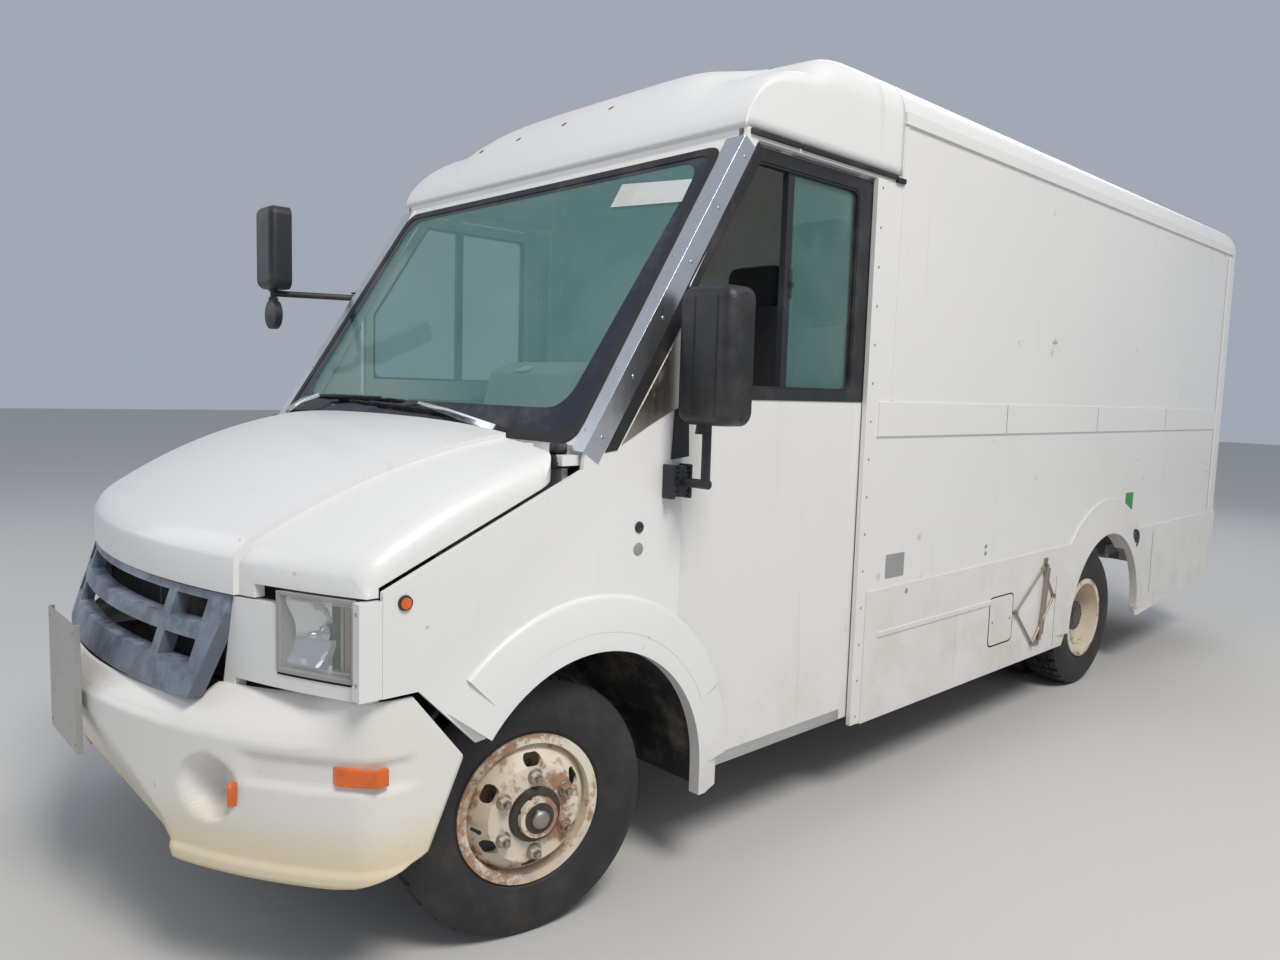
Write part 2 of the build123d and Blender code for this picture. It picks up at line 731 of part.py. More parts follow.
for name, s in sides:
    with BuildPart() as rear_door:
        face_y = rear_y + 2
        box_between((s * 4, s * (doorway_half - running_gap)), (face_y - door_skin, face_y),
                    (deck_z + running_gap, doorway_top_z - running_gap))
        with BuildSketch(facing(face_y - door_skin)):
            with Locations((s * doorway_half / 2, 1950)):
                RectangleRounded(460, 520, 60)
        extrude(amount=-door_skin, mode=Mode.SUBTRACT)
        # Two raised ribs across the panel
        for z in (1100.0, 1450.0):
            box_between((s * 90, s * (doorway_half - 90)), (face_y, face_y + 6), (z, z + 40))
        for z in hinge_heights:
            box_between((s * (rear_hinge_x - 110), s * rear_hinge_x), (face_y, face_y + 8),
                        (z, z + hinge_length / 2))
            box_between((s * (rear_hinge_x - hinge_radius), s * rear_hinge_x), (face_y, rear_hinge_y),
                        (z, z + hinge_length / 2))
            with Locations((s * rear_hinge_x, rear_hinge_y, z + hinge_length / 4)):
                Cylinder(hinge_radius, hinge_length / 2)
    write(rear_door.part, f"rear_door_{name}")
    with BuildPart() as rear_glass:
        with BuildSketch(facing(rear_y - door_skin / 2)):
            with Locations((s * doorway_half / 2, 1950)):
                RectangleRounded(460, 520, 60)
        extrude(amount=-5)
    write(rear_glass.part, f"rear_glass_{name}")

step_half = 960.0
with BuildPart() as rear_bumper:
    box_between((-step_half, step_half), (rear_y, rear_y + step_depth), (tail_z, tail_z + 60))
    # Grip slots through the step's tread
    with Locations((0, rear_y + step_depth / 2, tail_z + 60)):
        with GridLocations(160, 90, 11, 2):
            Box(110, 30, 40, mode=Mode.SUBTRACT)
    for s in (1, -1):
        box_between((s * (spring_x - 30), s * (spring_x + 30)), (rail_rear_y - 200, rear_y + 40),
                    (tail_z + 60, rail_bottom_z))
write(rear_bumper.part, "rear_bumper")


# Cab floor, step wells and front wheel liners
arch_front_y = front_axle_y + 95.0
arch_front_z = 400.0
arch_front_radius = 450.0
liner_inner_x = 500.0
liner_skin = 10.0
toe_y = front_axle_y + 40.0
step_front_y = front_axle_y + 590.0
step_rear_y = post_y - 20.0
step_z = 430.0
step_inner_x = 700.0
step_sheet = 12.0
door_side = pocket_inner
tunnel_half = 330.0
liner_top_z = arch_front_z + arch_front_radius + 12
with BuildPart() as cab_floor:
    box_between((-inner_half, inner_half), (step_front_y, bulkhead_y), (rail_top_z, deck_z))
    box_between((-liner_inner_x, liner_inner_x), (toe_y, step_front_y), (rail_top_z, deck_z))
    box_between((-tunnel_half, tunnel_half), (toe_y, engine_rear_y + 450), (rail_top_z, deck_z),
                mode=Mode.SUBTRACT)
    for s in (1, -1):
        # Each step well hangs under the floor beside its door
        box_between((s * step_inner_x, s * door_side), (step_front_y, step_rear_y), (step_z, deck_z))
        box_between((s * (step_inner_x + step_sheet), s * door_side),
                    (step_front_y + step_sheet, step_rear_y - step_sheet),
                    (step_z + step_sheet, deck_z), mode=Mode.SUBTRACT)
write(cab_floor.part, "cab_floor")

# Engine cover between the seats, over the rear of the engine
cover_top_z = engine_top_z + 25.0
with BuildPart() as engine_cover:
    side_profile(
        [(toe_y + 30, deck_z), (toe_y + 30, cover_top_z), (engine_rear_y + 120, cover_top_z),
         (engine_rear_y + 450, deck_z + 160), (engine_rear_y + 450, deck_z)],
        -tunnel_half - 20, tunnel_half + 20)
    fillet(engine_cover.edges().filter_by(Axis.X).group_by(Axis.Z)[-1], 40)
    side_profile(
        [(toe_y + 29, deck_z - 1), (toe_y + 29, cover_top_z - 20), (engine_rear_y + 110, cover_top_z - 20),
         (engine_rear_y + 430, deck_z + 150), (engine_rear_y + 430, deck_z - 1)],
        -tunnel_half, tunnel_half, mode=Mode.SUBTRACT)
write(engine_cover.part, "engine_cover")


# Cab nose. Hood, nose panel and grille are turned about one upright axis ahead of the windscreen.
nose_y = front_axle_y - 850.0
nose_radius = 2242.0
nose_axis_y = nose_y + nose_radius
nose_half = half_width - 20.0
hood_rear_y = front_axle_y - 12.0
hood_skin = 25.0
seam_front = (front_axle_y - 557.0, 1104.0)
seam_rear = (front_axle_y + 450.0, 1553.0)
seam_slope = (seam_rear[1] - seam_front[1]) / (seam_rear[0] - seam_front[0])
hood_lip_z = 1052.0
lamp_top_z = 1088.0


def seam_z(y):
    """Height of the seam between the fender and the hood at y."""
    return seam_front[1] + (y - seam_front[0]) * seam_slope


def hood_form(inset, rise=0.0):
    """A block under the hood's surface. The surface is turned about the nose's axis."""
    r = nose_radius - inset + rise
    up = rise - inset
    with BuildPart() as form:
        section = Plane(origin=(0, nose_axis_y, 0), x_dir=(0, -1, 0), z_dir=(-1, 0, 0))
        with BuildSketch(section):
            with BuildLine():
                # (radius, height): upright lip, nose curve, long crown, then the closing lines
                Line((r, 900), (r - 2, 1130 + up))
                ThreePointArc((r - 2, 1130 + up), (r - 20, 1165 + up), (r - 52, 1196 + up))
                ThreePointArc((r - 52, 1196 + up), (r - 420, 1388 + up), (r - 880, 1482 + up))
                Polyline((r - 880, 1482 + up), (r - 880, 900), (r, 900))
            make_face()
        revolve(axis=Axis((0, nose_axis_y, 0), (0, 0, 1)), revolution_arc=80)
    with BuildPart() as turned:
        add(form.part.rotate(Axis((0, nose_axis_y, 0), (0, 0, 1)), -40))
        half = nose_half - inset
        box_between((-half, half), (nose_y - 100, hood_rear_y), (850, 1600), mode=Mode.INTERSECT)
        shoulder = turned.edges().filter_by(lambda e: abs(abs(e.center().X) - half) < 1
                                            and e.center().Z > 1150 and e.length > 200)
        fillet(shoulder, 70 - inset)
    return turned.part


def raised_panel():
    """The hood's raised centre panel, wider at the windscreen than at the grille."""
    with BuildPart() as raised:
        add(hood_form(0, rise=12))
        with BuildSketch(Plane.XY.offset(800)):
            with BuildLine():
                Polyline((-640, nose_y - 60), (-780, hood_rear_y), (780, hood_rear_y), (640, nose_y - 60),
                         close=True)
            make_face()
        extrude(amount=900, mode=Mode.INTERSECT)
    return raised.part


with BuildPart() as hood:
    add(hood_form(0))
    add(raised_panel())
    add(hood_form(hood_skin), mode=Mode.SUBTRACT)
    # Lower edges: over the grille, over the lamps, and along the fender seam
    box_between((-720, 720), (nose_y - 100, nose_y + 300), (800, hood_lip_z), mode=Mode.SUBTRACT)
    box_between((-1200, 1200), (nose_y - 100, seam_front[0]), (800, hood_lip_z), mode=Mode.SUBTRACT)
    for s in (1, -1):
        box_between((s * 720, s * 1200), (nose_y - 100, seam_front[0]), (800, lamp_top_z),
                    mode=Mode.SUBTRACT)
    side_profile(
        [(seam_front[0] - 1, 800), (seam_front[0] - 1, seam_front[1] + running_gap),
         (hood_rear_y + 50, seam_z(hood_rear_y + 50) + running_gap), (hood_rear_y + 50, 800)],
        -1200, 1200, mode=Mode.SUBTRACT)
write(hood.part, "hood")


# Nose panel round the grille and lamps
fascia_low_z = 790.0
fascia_top_z = hood_lip_z - 6.0
grille_top_half = 646.0
grille_low_half = 598.0
lamp_inner_x = 798.0
lamp_outer_x = 1030.0
lamp_low_z = 878.0
seam_low_z = 843.0
nose_skin = 30.0


def nose_band(outer_low, outer_high, thickness, low, high):
    """A band turned about the nose's axis, its radius changing from low to high."""
    section = Plane(origin=(0, nose_axis_y, 0), x_dir=(0, -1, 0), z_dir=(-1, 0, 0))
    with BuildPart() as band:
        with BuildSketch(section):
            with BuildLine():
                Polyline((outer_low, low), (outer_high, high), (outer_high - thickness, high),
                         (outer_low - thickness, low), close=True)
            make_face()
        revolve(axis=Axis((0, nose_axis_y, 0), (0, 0, 1)), revolution_arc=80)
    return band.part.rotate(Axis((0, nose_axis_y, 0), (0, 0, 1)), -40)


def grille_outline(grow, top_z, low_z):
    """The grille's four corners seen from the front, as (x, z) points."""
    return [(-grille_top_half - grow, top_z), (grille_top_half + grow, top_z),
            (grille_low_half + grow, low_z), (-grille_low_half - grow, low_z)]


with BuildPart() as nose_panel:
    add(nose_band(nose_radius, nose_radius, nose_skin, fascia_low_z, fascia_top_z))
    box_between((-nose_half, nose_half), (nose_y - 100, seam_front[0]), (700, 1200), mode=Mode.INTERSECT)
    for s in (1, -1):
        box_between((s * (nose_half - 20), s * (half_width - 2)), (seam_front[0] - 60, seam_front[0]),
                    (seam_low_z, lamp_top_z - 6))
        box_between((s * grille_top_half, s * half_width), (nose_y - 100, seam_front[0]),
                    (fascia_low_z - 1, seam_low_z - 10), mode=Mode.SUBTRACT)
    with BuildSketch(facing(nose_y + 400)):
        with BuildLine():
            Polyline(*grille_outline(seat_gap, fascia_top_z, fascia_low_z - 6), close=True)
        make_face()
    extrude(amount=600, mode=Mode.SUBTRACT)
    for s in (1, -1):
        box_between((s * lamp_inner_x, s * lamp_outer_x), (nose_y - 200, seam_front[0] - 1),
                    (lamp_low_z, lamp_top_z + 40), mode=Mode.SUBTRACT)
write(nose_panel.part, "nose_panel")

grille_sill = 78.0
grille_frame = 20.0
grille_bar = 40.0
grille_low_z = fascia_low_z - 6
with BuildPart() as grille:
    top_z = fascia_top_z
    low_z = grille_low_z
    add(nose_band(nose_radius + 85, nose_radius + 2, 40, low_z, top_z))
    with BuildSketch(facing(nose_y + 400)):
        with BuildLine():
            Polyline(*grille_outline(0, top_z, low_z), close=True)
        make_face()
    extrude(amount=600, mode=Mode.INTERSECT)
    # Six cells: three across, two high
    bar_z = (low_z + grille_sill + top_z - grille_frame) / 2
    cell_low = (low_z + grille_sill, bar_z - grille_bar / 2)
    cell_high = (bar_z + grille_bar / 2, top_z - grille_frame)
    post_x = 395.0
    cell_half = 560.0
    for z0, z1 in (cell_low, cell_high):
        for x0, x1 in ((-cell_half, -post_x - grille_bar / 2),
                       (-post_x + grille_bar / 2, post_x - grille_bar / 2),
                       (post_x + grille_bar / 2, cell_half)):
            box_between((x0, x1), (nose_y - 200, nose_y + 200), (z0, z1), mode=Mode.SUBTRACT)
write(grille.part, "grille")

lamp_depth = 70.0
lamp_proud = 4.0
with BuildPart() as headlights:
    add(nose_band(nose_radius + lamp_proud, nose_radius + lamp_proud, lamp_depth, lamp_low_z,
                  lamp_top_z - 6))
    # Only the stretches between the grille and the body's sides are kept
    box_between((-lamp_inner_x, lamp_inner_x), (nose_y - 200, nose_y + 2000), (800, 1200),
                mode=Mode.SUBTRACT)
    box_between((-lamp_outer_x, lamp_outer_x), (nose_y - 200, seam_front[0] - 2), (800, 1200),
                mode=Mode.INTERSECT)
write(headlights.part, "headlights")


# Front fenders with their arches, flares and wheel liners
flare_front_radius = 605.0
bumper_half = half_width - 12
bumper_skin = 28.0
bumper_inner = bumper_half - bumper_skin
with BuildPart() as fenders:
    for s in (1, -1):
        with BuildSketch(Plane.YZ.offset(s * (half_width - skin))) as side_sheet:
            with BuildLine():
                Polyline(
                    seam_front, seam_rear, (door_front_y, arch_front_z), (door_front_y, skirt_z),
                    (arch_front_y, skirt_z), (arch_front_y, 700), (front_axle_y - 292, 672),
                    (front_axle_y - 460, seam_low_z), (seam_front[0], seam_low_z), close=True)
            make_face()
            with BuildLine():
                Polyline(
                    (arch_front_y, arch_front_z), (arch_front_y, arch_front_z + 300),
                    (door_front_y - 10, 870), (arch_front_y + 480, 770), (arch_front_y + 530, 640),
                    (arch_front_y + 558, 300), (arch_front_y, 300), close=True)
            make_face()
            with Locations((arch_front_y, arch_front_z)):
                Circle(arch_front_radius, mode=Mode.SUBTRACT)
            with Locations((arch_front_y, arch_front_z - 150)):
                Rectangle(2 * arch_front_radius, 300, mode=Mode.SUBTRACT)
        extrude(amount=s * skin)
        # The flare leans out from the body to the lip of the arch
        with BuildSketch(Plane(origin=(0, arch_front_y, arch_front_z), x_dir=(0, 1, 0),
                               z_dir=(0, 0, -s))):
            with BuildLine():
                Polyline(
                    (arch_front_radius, half_width - skin), (arch_front_radius, half_width + flare_lip),
                    (arch_front_radius + 30, half_width + flare_lip),
                    (flare_front_radius, half_width), (flare_front_radius, half_width - 1),
                    (arch_front_radius + 40, half_width - skin), close=True)
            make_face()
        revolve(axis=Axis((0, arch_front_y, arch_front_z), (1, 0, 0)), revolution_arc=142)
        with BuildSketch(Plane.XY.offset(arch_front_z)):
            with BuildLine():
                Polyline(
                    (s * (half_width - skin), arch_front_y + arch_front_radius),
                    (s * (half_width + flare_lip), arch_front_y + arch_front_radius),
                    (s * (half_width + flare_lip), arch_front_y + arch_front_radius + 30),
                    (s * half_width, arch_front_y + 558),
                    (s * (half_width - skin), arch_front_y + 558), close=True)
            make_face()
        extrude(amount=-100)
write(fenders.part, "fenders")

# (y, z) of the liner's outside, front to rear
liner_outer = [(-490, 440), (-490, 660), (-340, 805), (-60, liner_top_z), (250, liner_top_z),
               (470, 700), (558, 520), (558, 330)]
path = [(front_axle_y + y, z) for y, z in liner_outer]
inner = [(front_axle_y + y + (liner_skin if y < 0 else -liner_skin),
          z - (liner_skin if 500 < z else 0)) for y, z in liner_outer]
with BuildPart() as wheel_liners:
    for s in (1, -1):
        side_profile(path + inner[::-1], s * liner_inner_x, s * (half_width - skin))
        side_profile(path, s * liner_inner_x, s * (liner_inner_x + liner_skin))
        # The liner's front edge stays inside the bumper's return
        box_between((s * (bumper_inner - running_gap), s * half_width),
                    (front_axle_y - 500, front_axle_y - 300), (400, 830), mode=Mode.SUBTRACT)
write(wheel_liners.part, "wheel_liners")


# Cowl with the firewall under it
cowl_rear_y = front_axle_y + 135.0
cowl_z = 1415.0
firewall_y = front_axle_y + 20.0
firewall_skin = 20.0
with BuildPart() as cowl:
    box_between((-nose_half + 5, nose_half - 5), (hood_rear_y + running_gap, cowl_rear_y),
                (cowl_z - 30, cowl_z))
    box_between((-nose_half + 35, nose_half - 35), (firewall_y, firewall_y + firewall_skin),
                (rail_top_z, cowl_z - 30))
    box_between((-tunnel_half, tunnel_half), (firewall_y - 5, firewall_y + firewall_skin + 5),
                (rail_top_z - 1, cover_top_z - 20), mode=Mode.SUBTRACT)
    for s in (1, -1):
        box_between((s * (liner_inner_x - seat_gap), s * nose_half),
                    (firewall_y - 5, firewall_y + firewall_skin + 5),
                    (rail_top_z - 1, liner_top_z), mode=Mode.SUBTRACT)
    # Hinge lugs reach forward to the hood's rear edge
    for s in (1, -1):
        box_between((s * 800, s * 850), (hood_rear_y + seat_gap, hood_rear_y + 50),
                    (cowl_z - 2, cowl_z + 22))
write(cowl.part, "cowl")


# Windscreen frame: a sloped ring, the quarter panels and the headers over the doors
screen_base = (front_axle_y + 60.0, 1440.0)
screen_head = (front_axle_y + 690.0, 2420.0)
screen_length = sqrt((screen_head[0] - screen_base[0]) ** 2 + (screen_head[1] - screen_base[1]) ** 2)
screen_up = ((screen_head[0] - screen_base[0]) / screen_length,
             (screen_head[1] - screen_base[1]) / screen_length)
screen_plane = Plane(origin=(0, screen_base[0], screen_base[1]), x_dir=(1, 0, 0),
                     z_dir=(0, -screen_up[1], screen_up[0]))
screen_frame = 40.0
screen_border = 55.0
screen_corner = 70.0
screen_base_half = half_width - 15
screen_head_half = 1030.0
glass = 6.0


def screen_opening():
    """The glazed outline in the windscreen's plane."""
    with BuildSketch(screen_plane) as opening:
        with BuildLine():
            Polyline(
                (-screen_base_half + screen_border, screen_border * 0.6),
                (screen_base_half - screen_border, screen_border * 0.6),
                (screen_head_half - screen_border, screen_length - screen_border),
                (-screen_head_half + screen_border, screen_length - screen_border), close=True)
        make_face()
        fillet(opening.vertices(), screen_corner)
    return opening.sketch


pane_front_line = ((front_axle_y + 101.0, 1407.0), (front_axle_y + 755.0, 2390.0))
quarter_top = (door_front_y - 10, 1915.0)
with BuildPart() as windscreen_frame:
    with BuildSketch(screen_plane):
        with BuildLine():
            Polyline((-screen_base_half, 0), (screen_base_half, 0), (screen_head_half, screen_length),
                     (-screen_head_half, screen_length), close=True)
        make_face()
    extrude(amount=-screen_frame)
    for s in (1, -1):
        side_profile(
            [(front_axle_y + 50, seam_z(front_axle_y + 50)), (screen_base[0], screen_base[1]),
             (screen_head[0], screen_head[1]), (screen_head[0], cant_z), (post_y, cant_z),
             (post_y, header_low_z), (front_axle_y + 748, header_low_z), quarter_top,
             (door_front_y - 10, seam_z(door_front_y - 10))],
            s * (half_width - skin), s * half_width)
        # The post and header behind the outer sheet
        side_profile(
            [(screen_base[0] + 46, screen_base[1]), (screen_head[0] + 46, screen_head[1]),
             (screen_head[0] + 46, cant_z), (post_y, cant_z), (post_y, header_low_z),
             (front_axle_y + 748, header_low_z), (front_axle_y + 165, cowl_z + 15)],
            s * (pocket_inner + 2), s * half_width)
    box_between((-screen_head_half, screen_head_half), (screen_head[0], screen_head[0] + 60),
                (screen_head[1] - 40, cant_z))
    box_between((-nose_half + 5, nose_half - 5), (screen_base[0], screen_base[0] + 50),
                (cowl_z, screen_base[1]))
    extrude(screen_opening(), amount=-3 * screen_frame, mode=Mode.SUBTRACT)
write(windscreen_frame.part, "windscreen_frame")

with BuildPart() as windscreen:
    extrude(screen_opening(), amount=-glass)
write(windscreen.part, "windscreen")


# Sliding cab doors, each with a fixed and a sliding pane in one frame
pane_frame = 32.0
window_low_z = belt_z + 35
window_top_z = door_top_z - 45
mid_bar_y = front_axle_y + 957.0
bar_half = 16.0
glass_rear_y = front_axle_y + 1352.0
pane_slope = (pane_front_line[1][0] - quarter_top[0] - 20) / (pane_front_line[1][1] - quarter_top[1])
for name, s in sides:
    # (y, z) of the door's outline: its lower front corner clears the wheel liner
    outline = [
        (door_front_y + 4, 1905.0), (front_axle_y + 766, door_top_z), (door_rear_y, door_top_z),
        (door_rear_y, door_bottom_z), (front_axle_y + 612, door_bottom_z),
        (front_axle_y + 596, 640), (door_front_y + 4, 890),
    ]
    window = [
        (door_front_y + 40, window_low_z), (door_front_y + 40, 1905.0 + 10),
        (front_axle_y + 775, window_top_z), (glass_rear_y, window_top_z), (glass_rear_y, window_low_z),
    ]
    with BuildPart() as sliding_door:
        side_profile(outline, s * door_inner, s * door_outer)
        side_profile(window, s * door_inner, s * door_outer, mode=Mode.SUBTRACT)
        box_between((s * door_inner, s * (door_outer - 6)), (mid_bar_y - bar_half, mid_bar_y + bar_half),
                    (window_low_z, window_top_z))
        # Hangers run in the track under the header
        for y in (front_axle_y + 900, door_rear_y - 80):
            box_between((s * (door_inner + 8), s * (door_outer - 8)), (y, y + 60),
                        (door_top_z, header_low_z - seat_gap))
    write(sliding_door.part, f"sliding_door_{name}")
    with BuildPart() as door_glass:
        rear_pane_x = s * (door_inner + 12)
        box_between((rear_pane_x, rear_pane_x + s * glass), (mid_bar_y + bar_half, glass_rear_y),
                    (window_low_z, window_top_z))
        if s == -1:
            side_profile(
                [(door_front_y + 40, window_low_z), (door_front_y + 40, 1915.0),
                 (front_axle_y + 775, window_top_z), (mid_bar_y - bar_half, window_top_z),
                 (mid_bar_y - bar_half, window_low_z)],
                rear_pane_x, rear_pane_x + s * glass)
    write(door_glass.part, f"door_glass_{name}")


# Dashboard with the instrument hood in front of the driver
dash_low_z = 1180.0
dash_half = inner_half - 15.0
driver_x = 480.0
with BuildPart() as dashboard:
    side_profile(
        [(cowl_rear_y, dash_low_z), (cowl_rear_y, cowl_z), (cowl_rear_y + 70, 1515),
         (cowl_rear_y + 230, 1525), (cowl_rear_y + 300, 1480), (cowl_rear_y + 300, dash_low_z + 25),
         (cowl_rear_y + 270, dash_low_z)],
        -dash_half, dash_half)
    fillet(dashboard.edges().filter_by(Axis.X).group_by(Axis.Z)[-1], 25)
    side_profile(
        [(cowl_rear_y + 110, 1500), (cowl_rear_y + 150, 1650), (cowl_rear_y + 240, 1690),
         (cowl_rear_y + 320, 1670), (cowl_rear_y + 330, 1500), (cowl_rear_y + 300, 1400),
         (cowl_rear_y + 200, 1400)],
        driver_x - 230, driver_x + 230)
write(dashboard.part, "dashboard")

wheel_tilt = 32.0
steering_centre = (driver_x, cowl_rear_y + 555.0, 1400.0)
steering_plane = Plane(origin=steering_centre, x_dir=(1, 0, 0),
                       z_dir=(0, cos(radians(wheel_tilt)), sin(radians(wheel_tilt))))
steering_rim = 215.0
with BuildPart() as steering_wheel:
    with BuildSketch(Plane(origin=steering_plane.origin + steering_plane.x_dir * steering_rim,
                           x_dir=steering_plane.x_dir, z_dir=steering_plane.y_dir)):
        Circle(14)
    revolve(axis=Axis(steering_plane.origin, steering_plane.z_dir))
    with BuildSketch(steering_plane.offset(-12)):
        Circle(60)
        with PolarLocations(steering_rim / 2, 4, 45):
            Rectangle(steering_rim, 22)
        Circle(steering_rim + 40, mode=Mode.INTERSECT)
    extrude(amount=16)
    with BuildSketch(steering_plane.offset(-12)):
        Circle(30)
    extrude(amount=-360)
    # The column ends on the dash's rear face
    box_between((driver_x - 250, driver_x + 250), (front_axle_y - 200, cowl_rear_y + 300), (900, 1800),
                mode=Mode.SUBTRACT)
write(steering_wheel.part, "steering_wheel")


# Driver's seat on its pedestal
seat_y = post_y - 640.0
seat_z = 1230.0
with BuildPart() as seat_base:
    with BuildSketch(Plane.XY.offset(deck_z)):
        with Locations((driver_x, seat_y + 240)):
            RectangleRounded(300, 320, 30)
    extrude(amount=seat_z - 20 - deck_z, taper=4)
    box_between((driver_x - 220, driver_x + 220), (seat_y + 40, seat_y + 460), (seat_z - 20, seat_z))
write(seat_base.part, "seat_base")

with BuildPart() as driver_seat:
    box_between((driver_x - 245, driver_x + 245), (seat_y, seat_y + 500), (seat_z, seat_z + 120))
    side_profile(
        [(seat_y + 420, seat_z + 60), (seat_y + 530, seat_z + 60), (seat_y + 640, seat_z + 720),
         (seat_y + 540, seat_z + 720)],
        driver_x - 235, driver_x + 235)
    side_profile(
        [(seat_y + 541, seat_z + 715), (seat_y + 638, seat_z + 715), (seat_y + 655, seat_z + 900),
         (seat_y + 570, seat_z + 900)],
        driver_x - 140, driver_x + 140)
write(driver_seat.part, "driver_seat")


# Front bumper, turned about its own upright axis with straight returns along the sides
bumper_front_y = front_axle_y - 990.0
bumper_radius = 1515.0
bumper_axis_y = bumper_front_y + bumper_radius
bumper_low_z = 350.0
lip_top_z = 392.0
lip_proud = 8.0
shelf_z = 716.0              # front edge of the sloping shelf
shelf_top_z = 815.0
shelf_slope = 40.0
shelf_half = 980.0
end_top_z = 831.0


def bumper_form(inset, low, high, slope=0.0):
    """The bumper's block seen from above, drawn in by inset, its walls leaning in by slope."""
    half = bumper_half - inset
    r = bumper_radius - inset
    shoulder_y = bumper_axis_y - sqrt(r * r - half * half)
    with BuildPart() as form:
        with BuildSketch(Plane.XY.offset(low)) as plan:
            with BuildLine():
                ThreePointArc((-half, shoulder_y), (0, bumper_axis_y - r), (half, shoulder_y))
                Polyline((half, shoulder_y), (half, front_axle_y - 250), (-half, front_axle_y - 250),
                         (-half, shoulder_y))
            make_face()
            corners = plan.vertices().group_by(Axis.Y)[1]
            fillet(corners, 150 - inset)
        extrude(amount=high - low, taper=slope)
    return form.part


def bumper_shelf():
    """The shelf that slopes up and back to the nose panel, cut down where the grille stands."""
    with BuildPart() as shelf:
        add(bumper_form(0, shelf_z, shelf_top_z, shelf_slope))
        add(bumper_form(bumper_skin, shelf_z - 1, shelf_top_z + 1, shelf_slope), mode=Mode.SUBTRACT)
        box_between((-shelf_half, shelf_half), (bumper_front_y, nose_y + 600),
                    (shelf_z, shelf_top_z), mode=Mode.INTERSECT)
        box_between((-grille_top_half, grille_top_half), (bumper_front_y, nose_y + 600),
                    (grille_low_z - 6, shelf_top_z), mode=Mode.SUBTRACT)
    return shelf.part


def bumper_ends():
    """The ends beside the arches rise past the shelf to the nose panel's lower edge."""
    with BuildPart() as ends:
        add(bumper_form(0, shelf_z, end_top_z))
        add(bumper_form(bumper_skin, shelf_z - 1, end_top_z + 1), mode=Mode.SUBTRACT)
        box_between((-shelf_half + 8, shelf_half - 8), (bumper_front_y, front_axle_y),
                    (shelf_z, end_top_z), mode=Mode.SUBTRACT)
    return ends.part


# The scoop below the grille slopes back to the lip: (y, z) of its face, top and bottom
scoop_top = (bumper_front_y + 4, 668.0)
scoop_low = (bumper_front_y + 118, bumper_low_z + 46)
scoop_top_half = 455.0
scoop_low_half = 522.0


def scoop_block(section, grow):
    """A (y, z) section carried across the scoop's outline, grown by grow."""
    with BuildPart() as slab:
        with BuildSketch(facing(front_axle_y - 700)):
            with BuildLine():
                Polyline((-scoop_top_half - grow, scoop_top[1]), (scoop_top_half + grow, scoop_top[1]),
                         (scoop_low_half + grow, scoop_low[1]), (scoop_low_half + grow, bumper_low_z - 20),
                         (-scoop_low_half - grow, bumper_low_z - 20), (-scoop_low_half - grow, scoop_low[1]),
                         close=True)
            make_face()
        extrude(amount=400)
        side_profile(section, -600, 600, mode=Mode.INTERSECT)
    return slab.part


# The space in front of the scoop's face, and the panel behind it
scoop_space = [scoop_top, scoop_low, (scoop_low[0], bumper_low_z - 20),
               (bumper_front_y - 60, bumper_low_z - 20), (bumper_front_y - 60, scoop_top[1])]
scoop_panel = [scoop_top, scoop_low, (scoop_low[0] + bumper_skin, scoop_low[1]),
               (scoop_top[0] + bumper_skin, scoop_top[1])]


marker_y = (front_axle_y - 634.0, front_axle_y - 534.0)
marker_z = (618.0, 662.0)
marker_depth = 12.0
marker_proud = 3.0
well_x = 668.0
well_z = 565.0
well_radius = 84.0
well_floor_y = bumper_front_y + 224.0


def marker_blocks(outset):
    """Two blocks at the side markers, from marker_depth inside the bumper to outset outside it."""
    with BuildPart() as blocks:
        add(bumper_form(-outset, *marker_z))
        add(bumper_form(marker_depth, *marker_z), mode=Mode.SUBTRACT)
        box_between((-half_width, half_width), marker_y, marker_z, mode=Mode.INTERSECT)
        box_between((-800, 800), marker_y, marker_z, mode=Mode.SUBTRACT)
    return blocks.part


def well_cups():
    """Backs for the two round lamp wells, trimmed to the bumper's face."""
    with BuildPart() as cups:
        with BuildSketch(facing(well_floor_y + 14)):
            with Locations((-well_x, well_z), (well_x, well_z)):
                Circle(well_radius + 14)
        extrude(amount=300)
        add(bumper_form(0, bumper_low_z, shelf_z), mode=Mode.INTERSECT)
    return cups.part


